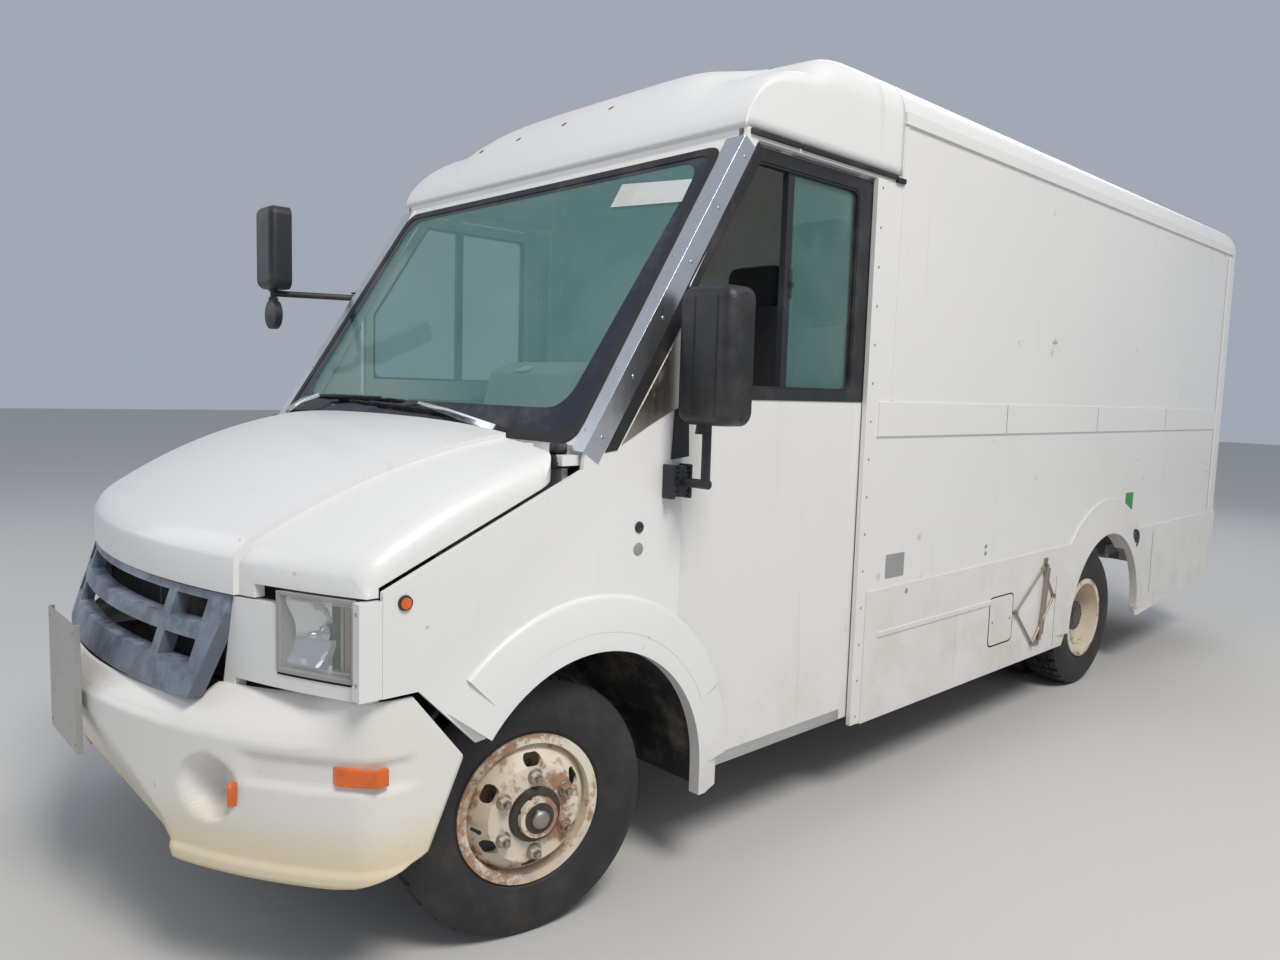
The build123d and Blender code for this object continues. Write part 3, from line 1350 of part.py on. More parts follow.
with BuildPart() as front_bumper:
    add(bumper_form(0, bumper_low_z, shelf_z))
    add(bumper_form(-lip_proud, bumper_low_z, lip_top_z))
    add(bumper_form(bumper_skin, bumper_low_z - 1, shelf_z + 1), mode=Mode.SUBTRACT)
    add(bumper_shelf())
    add(bumper_ends())
    add(scoop_block(scoop_space, 0), mode=Mode.SUBTRACT)
    box_between((-scoop_top_half, scoop_top_half), (scoop_low[0] - 100, scoop_low[0] + 200),
                (bumper_low_z - 1, scoop_low[1]), mode=Mode.SUBTRACT)
    add(scoop_block(scoop_panel, bumper_skin))
    add(well_cups())
    with BuildSketch(facing(well_floor_y)):
        with Locations((-well_x, well_z), (well_x, well_z)):
            Circle(well_radius)
    extrude(amount=300, mode=Mode.SUBTRACT)
    # The rear ends slope up from the lip and lean away from the tyre
    side_profile(
        [(front_axle_y - 200, bumper_low_z - 20), (front_axle_y - 700, bumper_low_z - 20),
         (front_axle_y - 700, bumper_low_z), (front_axle_y - 424, 410), (front_axle_y - 320, 640),
         (front_axle_y - 480, 842), (front_axle_y - 200, 842)],
        -1200, 1200, mode=Mode.SUBTRACT)
    add(marker_blocks(marker_proud), mode=Mode.SUBTRACT)
    # Brackets back to the rails
    for s in (1, -1):
        box_between((s * rail_inner, s * rail_outer), (bumper_front_y + 90, rail_front_y - 12),
                    (rail_bottom_z + 30, rail_top_z - 30))
write(front_bumper.part, "front_bumper")

plate_half = 155.0
plate_z = (535.0, 905.0)
plate_hole_x = 177.8
plate_hole_z = 120.6
plate_hole_radius = 3.5
# Blank plate holder standing in front of the bumper
plate_front_y = front_axle_y - front_overhang
with BuildPart() as plate_holder:
    box_between((-plate_half, plate_half), (plate_front_y, plate_front_y + 4), plate_z)
    for x in (-plate_half, plate_half - 4):
        box_between((x, x + 4), (plate_front_y, plate_front_y + 16), plate_z)
    for x in (-60.0, 30.0):
        box_between((x, x + 30), (plate_front_y + 4, bumper_front_y + 10), (674, 712))
    # Four holes for a standard plate
    with BuildSketch(facing(plate_front_y + 4)):
        with Locations((0, (plate_z[0] + plate_z[1]) / 2)):
            with GridLocations(plate_hole_x, plate_hole_z, 2, 2):
                Circle(plate_hole_radius)
    extrude(amount=4, mode=Mode.SUBTRACT)
    add(bumper_form(0, bumper_low_z, shelf_z), mode=Mode.SUBTRACT)
write(plate_holder.part, "plate_holder")


# Mirrors on their arms, the widest part of the van
mirror_arm = 265.0           # from the body side to a mirror's outer edge
mirror_reach = half_width + mirror_arm
mirror_width = 215.0
mirror_height = 400.0
mirror_z = 1705.0
mirror_depth = 100.0
high_mirror_width = 180.0
high_mirror_height = 365.0
high_mirror_z = 2192.0
round_mirror_radius = 65.0
bracket_y = front_axle_y + 405.0
bracket_z = 1330.0
pillar_y = front_axle_y + 450.0
pillar_z = 1990.0
arm_radius = 14.0


def mirror_head(x, y, z, width, height, corner):
    """A rounded housing round x, z with its flat face towards the driver."""
    with BuildPart() as head:
        with BuildSketch(facing(y + mirror_depth / 2)):
            with Locations((x, z)):
                RectangleRounded(width, height, corner)
        extrude(amount=mirror_depth)
        fillet(head.faces().sort_by(Axis.Y)[0].edges(), 35)
    return head.part


with BuildPart() as mirrors:
    # Left: on an arm from the belt
    left_arm_x = mirror_reach - mirror_width / 2 - 20
    add(mirror_head(mirror_reach - mirror_width / 2, front_axle_y + 400, mirror_z,
                    mirror_width, mirror_height, 45))
    box_between((half_width, half_width + 40), (bracket_y - 40, bracket_y + 40),
                (bracket_z - 45, bracket_z + 45))
    tube((half_width + 35, bracket_y, bracket_z), (left_arm_x + arm_radius, bracket_y, bracket_z), arm_radius)
    tube((left_arm_x, bracket_y, bracket_z), (left_arm_x, bracket_y, mirror_z - mirror_height / 2 + 5), arm_radius)
    # Right: higher, on an arm reaching forward from the windscreen pillar, with a round mirror below
    right_x = high_mirror_width / 2 - mirror_reach
    right_y = front_axle_y + 110
    add(mirror_head(right_x, right_y, high_mirror_z, high_mirror_width, high_mirror_height, 40))
    box_between((-half_width - 25, -half_width), (pillar_y - 25, pillar_y + 22), (pillar_z - 35, pillar_z + 25))
    tube((-half_width - 20, pillar_y, pillar_z), (right_x, right_y, pillar_z), arm_radius)
    high_mirror_low_z = high_mirror_z - high_mirror_height / 2
    tube((right_x, right_y, high_mirror_low_z - 54.5), (right_x, right_y, high_mirror_low_z + 5.5), arm_radius)
    round_mirror_z = high_mirror_low_z - 114.5
    tube((right_x, right_y - 15, round_mirror_z), (right_x, right_y + 15, round_mirror_z), round_mirror_radius)
write(mirrors.part, "mirrors")


# Wipers parked along the base of the windscreen
wiper_plane = screen_plane.offset(6)
with BuildPart() as wipers:
    for x in (-640.0, 260.0):
        with BuildSketch(wiper_plane):
            with BuildLine():
                Polyline((x, -8), (x + 22, -8), (x + 600, 95), (x + 600, 110), close=True)
            make_face()
        extrude(amount=12)
        with BuildSketch(Plane.XY.offset(cowl_z)):
            with Locations((x + 12, front_axle_y + 40)):
                Circle(16)
        extrude(amount=44)
write(wipers.part, "wipers")


# Small lamps: side markers on the bumper, tail lamps on the rear panel
with BuildPart() as marker_lamps:
    add(marker_blocks(marker_proud))
    for s in (1, -1):
        with BuildSketch(Plane.YZ.offset(s * half_width)):
            with Locations((front_axle_y - 499, 1072)):
                Circle(16)
        extrude(amount=s * 8)
        with BuildSketch(facing(rear_y)):
            with Locations((s * 900, 600), (s * 780, 600)):
                Circle(50)
        extrude(amount=-12)
write(marker_lamps.part, "marker_lamps")
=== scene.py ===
# %% [markdown]
# # Dressing a walk-in delivery van
# The real object is an old step van: an aluminium box body, a fibreglass nose and a cab with
# sliding doors. Its working shape comes from a fixed frame that was made as solids. This lesson
# adds what solids can't show: paint that has weathered, rubber, glass, tread, rivets and trim.
# Everything is in metres, the front is towards -Y, and the driver's side is +X.

# %% Load the frame
import json
import math
import random

import bmesh
import bpy
from mathutils import Matrix, Vector
from mathutils.bvhtree import BVHTree

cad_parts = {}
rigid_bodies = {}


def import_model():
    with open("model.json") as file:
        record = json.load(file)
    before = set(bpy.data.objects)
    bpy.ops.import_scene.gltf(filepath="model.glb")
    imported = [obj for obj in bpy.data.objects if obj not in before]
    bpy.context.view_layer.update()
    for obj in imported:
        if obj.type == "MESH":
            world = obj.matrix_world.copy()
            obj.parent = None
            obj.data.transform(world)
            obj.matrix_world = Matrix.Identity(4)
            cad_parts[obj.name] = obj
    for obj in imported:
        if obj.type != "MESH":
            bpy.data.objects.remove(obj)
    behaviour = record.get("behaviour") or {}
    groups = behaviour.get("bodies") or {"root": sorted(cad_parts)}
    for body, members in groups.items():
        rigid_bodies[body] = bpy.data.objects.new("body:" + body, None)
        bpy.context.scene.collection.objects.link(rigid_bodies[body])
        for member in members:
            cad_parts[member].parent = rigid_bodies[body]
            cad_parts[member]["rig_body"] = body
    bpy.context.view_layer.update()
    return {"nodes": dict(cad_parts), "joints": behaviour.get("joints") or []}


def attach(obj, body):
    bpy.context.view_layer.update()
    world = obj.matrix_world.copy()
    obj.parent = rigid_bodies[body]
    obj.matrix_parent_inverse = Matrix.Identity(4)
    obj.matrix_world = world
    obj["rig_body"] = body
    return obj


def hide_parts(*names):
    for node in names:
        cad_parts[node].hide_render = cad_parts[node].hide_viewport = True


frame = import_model()
nodes = frame["nodes"]
random.seed(7)

# %% [markdown]
# The joints say where the axles are, so wheels, arches and the nose are placed from them. The
# parked wheels are turned a little, and the front joints' axes give that angle.

# %% Stations that the pieces are placed from
joints = {j["name"]: j for j in frame["joints"]}
front_axle = joints["left_steer"]["pos_m"][1]
rear_axle = joints["rear_left_spin"]["pos_m"][1]
hub_height = joints["rear_left_spin"]["pos_m"][2]
body_side = 1.065
door_face = 1.045
rear_face = front_axle + 5.85
print("axles at", front_axle, rear_axle)

# %% [markdown]
# A finish is a node tree. Its sums read best as sums, so a small class wraps a socket and
# turns Python's operators into Math nodes. The second class holds one material and makes any
# other node: settings come first, then the values or links of its sockets.

# %% A socket that can be added and multiplied
class Value:
    def __init__(self, finish, socket):
        self.finish = finish
        self.socket = socket

    def math(self, operation, *others):
        return self.finish.add("ShaderNodeMath", {"operation": operation}, [self, *others])

    def __add__(self, other):
        return self.math("ADD", other)

    def __mul__(self, other):
        return self.math("MULTIPLY", other)

    def __sub__(self, other):
        return self.math("SUBTRACT", other)

    def __rsub__(self, other):
        return self.finish.add("ShaderNodeMath", {"operation": "SUBTRACT"}, [other, self])

    __radd__ = __add__
    __rmul__ = __mul__

    def clamp(self):
        return self.finish.add("ShaderNodeClamp", {}, [self])

    def band(self, low, high):
        """0 below low, 1 above high, and a soft step between them."""
        step = {"interpolation_type": "SMOOTHSTEP"}
        return self.finish.add("ShaderNodeMapRange", step, [self, low, high, 0.0, 1.0])


# %% A material under construction
class Finish:
    def __init__(self, name):
        self.material = bpy.data.materials.new(name)
        self.material.use_nodes = True
        self.tree = self.material.node_tree
        self.tree.nodes.clear()
        self.output = self.tree.nodes.new("ShaderNodeOutputMaterial")
        self.surface = self.tree.nodes.new("ShaderNodeBsdfPrincipled")
        self.tree.links.new(self.surface.outputs[0], self.output.inputs[0])
        place = self.tree.nodes.new("ShaderNodeTexCoord")
        self.place = Value(self, place.outputs["Object"])
        split = self.tree.nodes.new("ShaderNodeSeparateXYZ")
        self.tree.links.new(place.outputs["Object"], split.inputs[0])
        self.x, self.y, self.z = (Value(self, s) for s in split.outputs)

    def feed(self, socket, value):
        if isinstance(value, Value):
            self.tree.links.new(value.socket, socket)
        elif hasattr(socket.default_value, "__len__") and len(value) == 3 and socket.type == "RGBA":
            socket.default_value = (*value, 1.0)
        else:
            socket.default_value = value

    def add(self, kind, settings, inputs, output=0):
        node = self.tree.nodes.new(kind)
        for name, setting in settings.items():
            if name == "stops":
                ramp = node.color_ramp
                while len(ramp.elements) < len(setting):
                    ramp.elements.new(0.5)
                for element, (at, colour) in zip(ramp.elements, setting):
                    element.position = at
                    element.color = (*colour, 1.0)
            else:
                setattr(node, name, setting)
        pairs = inputs.items() if isinstance(inputs, dict) else enumerate(inputs)
        for key, value in pairs:
            self.feed(node.inputs[key], value)
        return Value(self, node.outputs[output])

    def noise(self, scale, detail=3.0, rough=0.55, stretch=(1, 1, 1)):
        place = self.add("ShaderNodeMapping", {}, {"Vector": self.place, "Scale": stretch})
        return self.add("ShaderNodeTexNoise", {}, {"Vector": place, "Scale": scale, "Detail": detail,
                                                    "Roughness": rough})

    def cells(self, scale, stretch=(1, 1, 1)):
        place = self.add("ShaderNodeMapping", {}, {"Vector": self.place, "Scale": stretch})
        return self.add("ShaderNodeTexVoronoi", {}, {"Vector": place, "Scale": scale})

    def blend(self, factor, one, other):
        node = self.tree.nodes.new("ShaderNodeMix")
        node.data_type = "RGBA"
        self.feed(node.inputs[0], factor)
        self.feed(node.inputs[6], one)
        self.feed(node.inputs[7], other)
        return Value(self, node.outputs[2])

    def bump(self, height, distance, strength=1.0):
        inputs = {"Height": height, "Distance": distance, "Strength": strength}
        self.feed(self.surface.inputs["Normal"], self.add("ShaderNodeBump", {}, inputs))

    def set(self, **sockets):
        for name, value in sockets.items():
            self.feed(self.surface.inputs[name.replace("_", " ")], value)
        return self.material


# %% [markdown]
# The body's white paint is years old. Close up it has faint clouds, a few rust specks and grey
# scuffs; low down it holds sand-coloured dust. One function makes the related whites, with the
# amounts as arguments, so the aluminium walls and the fibreglass nose stay a family.

# %% White paint and gelcoat
dust_colour = (0.42, 0.33, 0.235)
rust_colour = (0.23, 0.085, 0.03)


def weathered_white(name, base, shine, dust_top, specks, wave, low_shade_strength=0.0):
    paint = Finish(name)
    clouds = paint.noise(0.9, 4.0)
    grime = paint.noise(3.2, 6.0, 0.68)
    streaks = paint.noise(2.0, 5.0, 0.6, (1.0, 9.0, 0.45))
    colour = paint.blend(clouds.band(0.35, 0.75) * 0.5, base, [c * 0.93 for c in base])
    colour = paint.blend(streaks.band(0.60, 0.80) * 0.28, colour, (0.50, 0.46, 0.39))
    low = 1 - paint.z.band(0.30, dust_top)
    dusty = (low * grime.band(0.34, 0.80) * 0.42).clamp()
    colour = paint.blend(dusty, colour, dust_colour)
    # Painted warm shade: the bumper's colour turns darker and warmer towards its foot, smoothly with height
    if low_shade_strength:
        painted_low_shade = (1 - paint.z.band(0.40, 0.56)) * low_shade_strength
        colour = paint.blend(painted_low_shade, colour, (0.74, 0.60, 0.36))
    # Rust specks: small cell centres, kept only where a slow noise allows them
    where = paint.noise(1.7, 2.0).band(0.60, 0.70)
    dots = 1 - paint.cells(specks).band(0.035, 0.11)
    scabs = 1 - paint.noise(5.0, 8.0, 0.75).band(0.26, 0.33)
    rust = (dots * where * 0.8 + scabs * 0.75).clamp()
    colour = paint.blend(rust, colour, rust_colour)
    scuffs = paint.noise(7.0, 7.0, 0.7, (1.0, 0.25, 2.2)).band(0.69, 0.75)
    colour = paint.blend(scuffs * 0.35, colour, (0.36, 0.35, 0.33))
    rough = shine + dusty * 0.45 + rust * 0.35 + grime * 0.08
    paint.bump(paint.noise(1.4, 1.5) * wave + grime * 0.02, 0.006)
    return paint.set(Base_Color=colour, Roughness=rough.clamp(), Coat_Weight=0.25, Coat_Roughness=0.12)


wall_white = weathered_white("wall white", (0.80, 0.785, 0.75), 0.25, 0.95, 5.0, 1.0)
door_white = weathered_white("door white", (0.79, 0.775, 0.735), 0.33, 0.80, 4.0, 0.5)
skirt_white = weathered_white("skirt white", (0.77, 0.75, 0.71), 0.42, 1.15, 9.0, 0.5)
gelcoat_white = weathered_white("gelcoat white", (0.80, 0.79, 0.765), 0.36, 0.62, 14.0, 0.2)
bumper_white = weathered_white("bumper white", (0.80, 0.775, 0.72), 0.42, 0.50, 6.0, 0.15, 0.75)
cap_white = weathered_white("cap white", (0.81, 0.80, 0.775), 0.38, 0.5, 3.0, 0.3)

# %% [markdown]
# Bare and painted metals under and around the body. Brushed steel gets fine stretched noise,
# the frame gets black paint under road dust, and castings get grain.

# %% Metals


def brushed(name, base, rough, stretch, rust=0.0):
    metal = Finish(name)
    grain = metal.noise(60.0, 4.0, 0.6, stretch)
    stains = metal.noise(4.0, 5.0, 0.65)
    colour = metal.blend(stains.band(0.45, 0.75) * 0.5, base, [c * 0.72 for c in base])
    bloom = (stains.band(0.62, 0.72) * rust).clamp()
    colour = metal.blend(bloom, colour, rust_colour)
    metal.bump(grain, 0.0004)
    return metal.set(Base_Color=colour, Metallic=1 - bloom, Roughness=rough + grain * 0.16 + bloom * 0.4)


stainless = brushed("stainless trim", (0.78, 0.79, 0.80), 0.24, (1.0, 1.0, 0.06))
sheet_aluminium = brushed("sheet aluminium", (0.62, 0.62, 0.61), 0.34, (1.0, 0.08, 1.0))
plated_steel = brushed("plated steel", (0.50, 0.49, 0.46), 0.38, (1.0, 1.0, 1.0), 0.7)
quarter_steel = brushed("quarter steel", (0.66, 0.60, 0.50), 0.24, (1.0, 1.0, 0.1), 0.25)


def road_black(name, base, dust, rough=0.55):
    paint = Finish(name)
    mud = paint.noise(6.0, 7.0, 0.7)
    film = (mud.band(0.40, 0.70) * dust).clamp()
    colour = paint.blend(film, base, (0.20, 0.155, 0.11))
    flakes = paint.noise(14.0, 5.0, 0.7).band(0.64, 0.72)
    colour = paint.blend(flakes * 0.6, colour, (0.13, 0.055, 0.025))
    paint.bump(mud, 0.002)
    return paint.set(Base_Color=colour, Roughness=rough + film * 0.3)


frame_black = road_black("frame black", (0.022, 0.022, 0.023), 0.75)
oily_iron = road_black("oily iron", (0.085, 0.08, 0.075), 0.55, 0.42)
brake_iron = road_black("brake iron", (0.10, 0.075, 0.06), 0.4)

# %% [markdown]
# Wheels are pressed steel in cream paint. Rust creeps out from the hub, the nuts and the hand
# holes, so its mask adds the distance from the hub to noise. Object coordinates are the van's
# own here, so that distance is worked out from the axles' places.

# %% Rusty wheel paint
wheel_cream = Finish("wheel cream")
blotch = wheel_cream.noise(9.0, 8.0, 0.72)
fine_rust = wheel_cream.noise(34.0, 6.0, 0.7)
# Both axles are folded onto one, so one distance serves all the wheels
folded = (wheel_cream.y - (front_axle + rear_axle) / 2).math("ABSOLUTE") - (rear_axle - front_axle) / 2
lifted = wheel_cream.z - hub_height
from_hub = (folded * folded + lifted * lifted).math("SQRT")
worn = (1 - from_hub.band(0.085, 0.125)) * 0.10 + from_hub.band(0.190, 0.222) * 0.09
holes = (1 - (from_hub - 0.152).math("ABSOLUTE").band(0.010, 0.034)) * 0.03
rusty = (blotch * 0.75 + fine_rust * 0.35 + worn + holes).band(0.590, 0.700)
cream = wheel_cream.blend(wheel_cream.noise(2.5).band(0.4, 0.7), (0.76, 0.68, 0.56), (0.66, 0.55, 0.42))
rust_tone = wheel_cream.blend(fine_rust.band(0.4, 0.6), (0.20, 0.07, 0.03), (0.36, 0.16, 0.07))
wheel_cream.bump(rusty * 0.6 + fine_rust * 0.3, 0.0012)
wheel_cream = wheel_cream.set(Base_Color=wheel_cream.blend(rusty * 0.85, cream, rust_tone),
                              Roughness=0.42 + rusty * 0.4)
greasy_hub = road_black("greasy hub", (0.03, 0.024, 0.02), 0.25, 0.3)
rusty_nut = brushed("rusty nut", (0.42, 0.36, 0.30), 0.45, (1.0, 1.0, 1.0), 1.6)

# %% [markdown]
# Rubber and plastics. Moulded black plastic has a fine grain, and sun has turned the grille's
# grey plastic chalky on the faces that look up.

# %% Rubber and plastic


def moulded(name, base, rough, grain_scale, grain_depth, fade=0.0, fade_colour=(0.5, 0.5, 0.5), dust=0.15):
    plastic = Finish(name)
    grain = plastic.cells(grain_scale)
    film = plastic.noise(5.0, 6.0, 0.65).band(0.45, 0.75) * dust
    colour = plastic.blend(film, base, (0.30, 0.25, 0.19))
    if fade:
        geometry = plastic.tree.nodes.new("ShaderNodeNewGeometry")
        up = plastic.add("ShaderNodeSeparateXYZ", {}, [Value(plastic, geometry.outputs["Normal"])], 2)
        bloom = (up.band(-0.1, 0.7) * plastic.noise(11.0, 6.0, 0.7).band(0.38, 0.60) * fade).clamp()
        patchy = plastic.noise(3.1, 5.0, 0.7).band(0.47, 0.60) * fade * 0.7
        colour = plastic.blend((bloom + patchy).clamp(), colour, fade_colour)
    plastic.bump(grain, grain_depth)
    return plastic.set(Base_Color=colour, Roughness=rough)


black_rubber = moulded("black rubber", (0.016, 0.016, 0.017), 0.62, 320.0, 0.0003)
black_plastic = moulded("black plastic", (0.016, 0.017, 0.020), 0.42, 420.0, 0.0005, 0.10, (0.12, 0.13, 0.15))
grille_grey = moulded("grille grey", (0.105, 0.125, 0.165), 0.46, 500.0, 0.0003, 0.60, (0.36, 0.42, 0.52))
liner_black = moulded("liner black", (0.018, 0.018, 0.018), 0.7, 160.0, 0.0006, dust=0.7)
dash_trim = moulded("dash trim", (0.40, 0.40, 0.33), 0.6, 260.0, 0.0005, dust=0.3)
cover_trim = moulded("cover trim", (0.045, 0.045, 0.048), 0.65, 200.0, 0.0006, dust=0.5)
cabin_grey = moulded("cabin grey", (0.70, 0.70, 0.66), 0.55, 300.0, 0.0003, dust=0.3)

# %% [markdown]
# Tyre rubber is greyer than fresh rubber and holds sand. The tread's blocks are modelled, so
# the shader only adds the dust and a fine grain.

# %% Tyre rubber
tyre_rubber = Finish("tyre rubber")
sand = tyre_rubber.noise(7.0, 7.0, 0.7)
film = sand.band(0.42, 0.72) * 0.24
tyre_rubber.bump(tyre_rubber.noise(120.0, 3.0), 0.0005)
tyre_rubber = tyre_rubber.set(Base_Color=tyre_rubber.blend(film, (0.022, 0.022, 0.023), (0.13, 0.105, 0.08)),
                              Roughness=0.68 + film * 0.3)

# %% [markdown]
# Glass in a closed pane: a teal tint that lets light through by its alpha, which the export
# keeps. Dust makes it milkier in places. Lamps use a clearer mix, and lenses use saturated
# colours with a coat.

# %% Glass and lenses


def tinted(name, tint, alpha, haze):
    glass = Finish(name)
    dirt = glass.noise(2.2, 6.0, 0.62)
    veil = (dirt.band(0.42, 0.78) * haze).clamp()
    colour = glass.blend(veil, tint, (0.52, 0.56, 0.52))
    return glass.set(Base_Color=colour, Roughness=0.03 + veil * 0.2, Alpha=(alpha + veil * 0.35).clamp(),
                     Specular_IOR_Level=0.9, Coat_Weight=0.6)


cab_glass = tinted("cab glass", (0.11, 0.33, 0.30), 0.34, 0.16)
door_glass = tinted("door glass", (0.12, 0.30, 0.27), 0.28, 0.2)
lamp_cover = tinted("lamp cover", (0.55, 0.56, 0.54), 0.16, 0.25)


def lens(name, colour):
    cover = Finish(name)
    ribs = cover.add("ShaderNodeTexWave", {"wave_type": "BANDS", "bands_direction": "Z"},
                     {"Vector": cover.place, "Scale": 70.0})
    cover.bump(ribs, 0.0008)
    toned = cover.blend(cover.noise(12.0).band(0.3, 0.7), colour, [c * 0.75 for c in colour])
    return cover.set(Base_Color=toned, Roughness=0.22, Coat_Weight=0.5)


amber_lens = lens("amber lens", (0.85, 0.15, 0.008))
red_lens = lens("red lens", (0.55, 0.015, 0.01))
mirror_glass = brushed("mirror glass", (0.82, 0.84, 0.85), 0.02, (1, 1, 1))
reflector = brushed("reflector", (0.88, 0.89, 0.90), 0.05, (1, 1, 1))
blank_label = moulded("blank label", (0.62, 0.62, 0.60), 0.45, 90.0, 0.0001, dust=0.25)
grey_label = moulded("grey label", (0.30, 0.31, 0.30), 0.5, 90.0, 0.0001, dust=0.3)
green_label = moulded("green label", (0.03, 0.27, 0.06), 0.45, 90.0, 0.0001)
lamp_housing = moulded("lamp housing", (0.34, 0.34, 0.32), 0.35, 200.0, 0.0001, dust=0.2)
turn_chamber = moulded("turn chamber", (0.50, 0.44, 0.36), 0.35, 200.0, 0.0001, dust=0.3)
radiator_dark = moulded("radiator dark", (0.022, 0.022, 0.022), 0.6, 200.0, 0.0001, dust=0.6)
screen_print = moulded("screen print", (0.012, 0.016, 0.030), 0.12, 200.0, 0.00002, dust=0.25)
shadow_gap = moulded("shadow gap", (0.006, 0.006, 0.006), 0.9, 90.0, 0.0001, dust=0.0)

# %% [markdown]
# Inside, the seat is woven cloth, the load floor is worn wood and the cab floor is tread plate.
# The weave and the grain are made from waves and stretched noise on object coordinates.

# %% Cloth, wood and tread plate
seat_cloth = Finish("seat cloth")
warp = seat_cloth.add("ShaderNodeTexWave", {"bands_direction": "X"}, {"Vector": seat_cloth.place, "Scale": 150.0})
weft = seat_cloth.add("ShaderNodeTexWave", {"bands_direction": "DIAGONAL"},
                      {"Vector": seat_cloth.place, "Scale": 110.0})
seat_cloth.bump(warp * weft, 0.0012)
lint = seat_cloth.noise(40.0, 5.0).band(0.5, 0.75) * 0.4
seat_cloth = seat_cloth.set(Base_Color=seat_cloth.blend(lint, (0.014, 0.014, 0.016), (0.06, 0.055, 0.05)),
                            Roughness=0.88)
seat_cloth.node_tree.nodes["Principled BSDF"].inputs["Sheen Weight"].default_value = 0.3

floor_wood = Finish("floor wood")
grain = floor_wood.noise(3.5, 9.0, 0.7, (6.0, 0.35, 6.0))
tread_wear = floor_wood.noise(1.6, 5.0).band(0.4, 0.7)
planks = floor_wood.blend(grain.band(0.3, 0.7), (0.24, 0.15, 0.085), (0.40, 0.28, 0.17))
floor_wood.bump(grain, 0.0015)
floor_wood = floor_wood.set(Base_Color=floor_wood.blend(tread_wear * 0.6, planks, (0.30, 0.27, 0.23)),
                            Roughness=0.75)

tread_plate = Finish("tread plate")
turned = tread_plate.add("ShaderNodeMapping", {}, {"Vector": tread_plate.place, "Rotation": (0, 0, 0.785),
                                                   "Scale": (1.0, 2.6, 1.0)})
lozenge = 1 - tread_plate.add("ShaderNodeTexVoronoi", {}, {"Vector": turned, "Scale": 26.0,
                                                           "Randomness": 0.0}).band(0.20, 0.34)
soil = tread_plate.noise(4.0, 6.0).band(0.4, 0.7)
tread_plate.bump(lozenge, 0.0015)
tread_plate = tread_plate.set(Base_Color=tread_plate.blend(soil * 0.7, (0.50, 0.50, 0.49), (0.26, 0.22, 0.17)),
                              Metallic=1 - soil * 0.6, Roughness=0.32 + soil * 0.4)
print("finishes:", len(bpy.data.materials))

# %% [markdown]
# Real panels never have a knife edge. Each solid is copied, its triangles are merged back into
# whole faces, and a narrow bevel catches light along every edge. The copy stands for the solid.

# %% Helpers that turn a bmesh into a piece
dressed = {}


def piece(name, bm, material, crease=35.0, merge=True, body="van_body"):
    """Makes the bmesh an object that rides on a body."""
    if merge:
        bmesh.ops.remove_doubles(bm, verts=bm.verts, dist=1e-5)
        bmesh.ops.recalc_face_normals(bm, faces=bm.faces)
    for face in bm.faces:
        face.smooth = True
    for edge in bm.edges:
        if len(edge.link_faces) == 2:
            edge.smooth = edge.calc_face_angle(0.0) < math.radians(crease)
    mesh = bpy.data.meshes.new(name)
    bm.to_mesh(mesh)
    bm.free()
    for one in material if isinstance(material, list) else [material]:
        mesh.materials.append(one)
    made = bpy.data.objects.new(name, mesh)
    bpy.context.scene.collection.objects.link(made)
    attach(made, body)
    return made


def soften(made, width, segments=2, angle=35.0):
    bevel = made.modifiers.new("edges", "BEVEL")
    bevel.width = width
    bevel.segments = segments
    bevel.limit_method = "ANGLE"
    bevel.angle_limit = math.radians(angle)
    bevel.harden_normals = True
    bevel.use_clamp_overlap = True


def dress(node, material, edge=0.003, crease=25.0):
    """A bevelled copy of a solid that stands for it."""
    bm = bmesh.new()
    bm.from_mesh(nodes[node].data)
    bmesh.ops.remove_doubles(bm, verts=bm.verts, dist=2e-5)
    bmesh.ops.dissolve_degenerate(bm, edges=bm.edges, dist=1e-5)
    bmesh.ops.dissolve_limit(bm, angle_limit=math.radians(0.6), verts=bm.verts, edges=bm.edges)
    made = piece(node + "_shell", bm, material, crease, merge=False, body=nodes[node]["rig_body"])
    if edge:
        soften(made, edge)
    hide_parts(node)
    dressed[node] = made
    return made


# %% Every solid gets its finish
finishes = [
    (wall_white, 0.004, ["cargo_walls", "rear_frame", "windscreen_frame"]),
    (door_white, 0.003, ["sliding_door_left", "sliding_door_right", "rear_door_left", "rear_door_right"]),
    (skirt_white, 0.004, ["skirts"]),
    (gelcoat_white, 0.006, ["hood", "nose_panel", "fenders", "cowl"]),
    (cap_white, 0.006, ["cargo_roof"]),
    (grille_grey, 0.006, ["grille"]),
    (cabin_grey, 0.003, ["bulkhead"]),
    (dash_trim, 0.010, ["dashboard"]),
    (cover_trim, 0.008, ["engine_cover"]),
    (frame_black, 0.003, ["chassis_frame", "front_axle", "rear_axle", "leaf_springs", "drive_shaft",
                          "knuckle_left", "knuckle_right", "tie_rod"]),
    (oily_iron, 0.006, ["engine_block"]),
    (plated_steel, 0.002, ["exhaust", "rear_bumper", "fuel_tank", "plate_holder"]),
    (black_plastic, 0.004, ["mirrors", "steering_wheel", "seat_base"]),
    (liner_black, 0.003, ["wheel_liners"]),
    (floor_wood, 0.002, ["cargo_floor"]),
    (tread_plate, 0.002, ["cab_floor"]),
    (wheel_cream, 0.0025, ["front_rim_left", "front_rim_right", "rear_rims_left", "rear_rims_right"]),
    (cab_glass, 0.0, ["windscreen"]),
    (door_glass, 0.0, ["door_glass_left", "door_glass_right", "rear_glass_left", "rear_glass_right"]),
    (amber_lens, 0.002, ["marker_lamps"]),
]
for finish, edge, names in finishes:
    for name in names:
        if name in nodes:
            dress(name, finish, edge)
print("dressed", len(dressed), "solids")

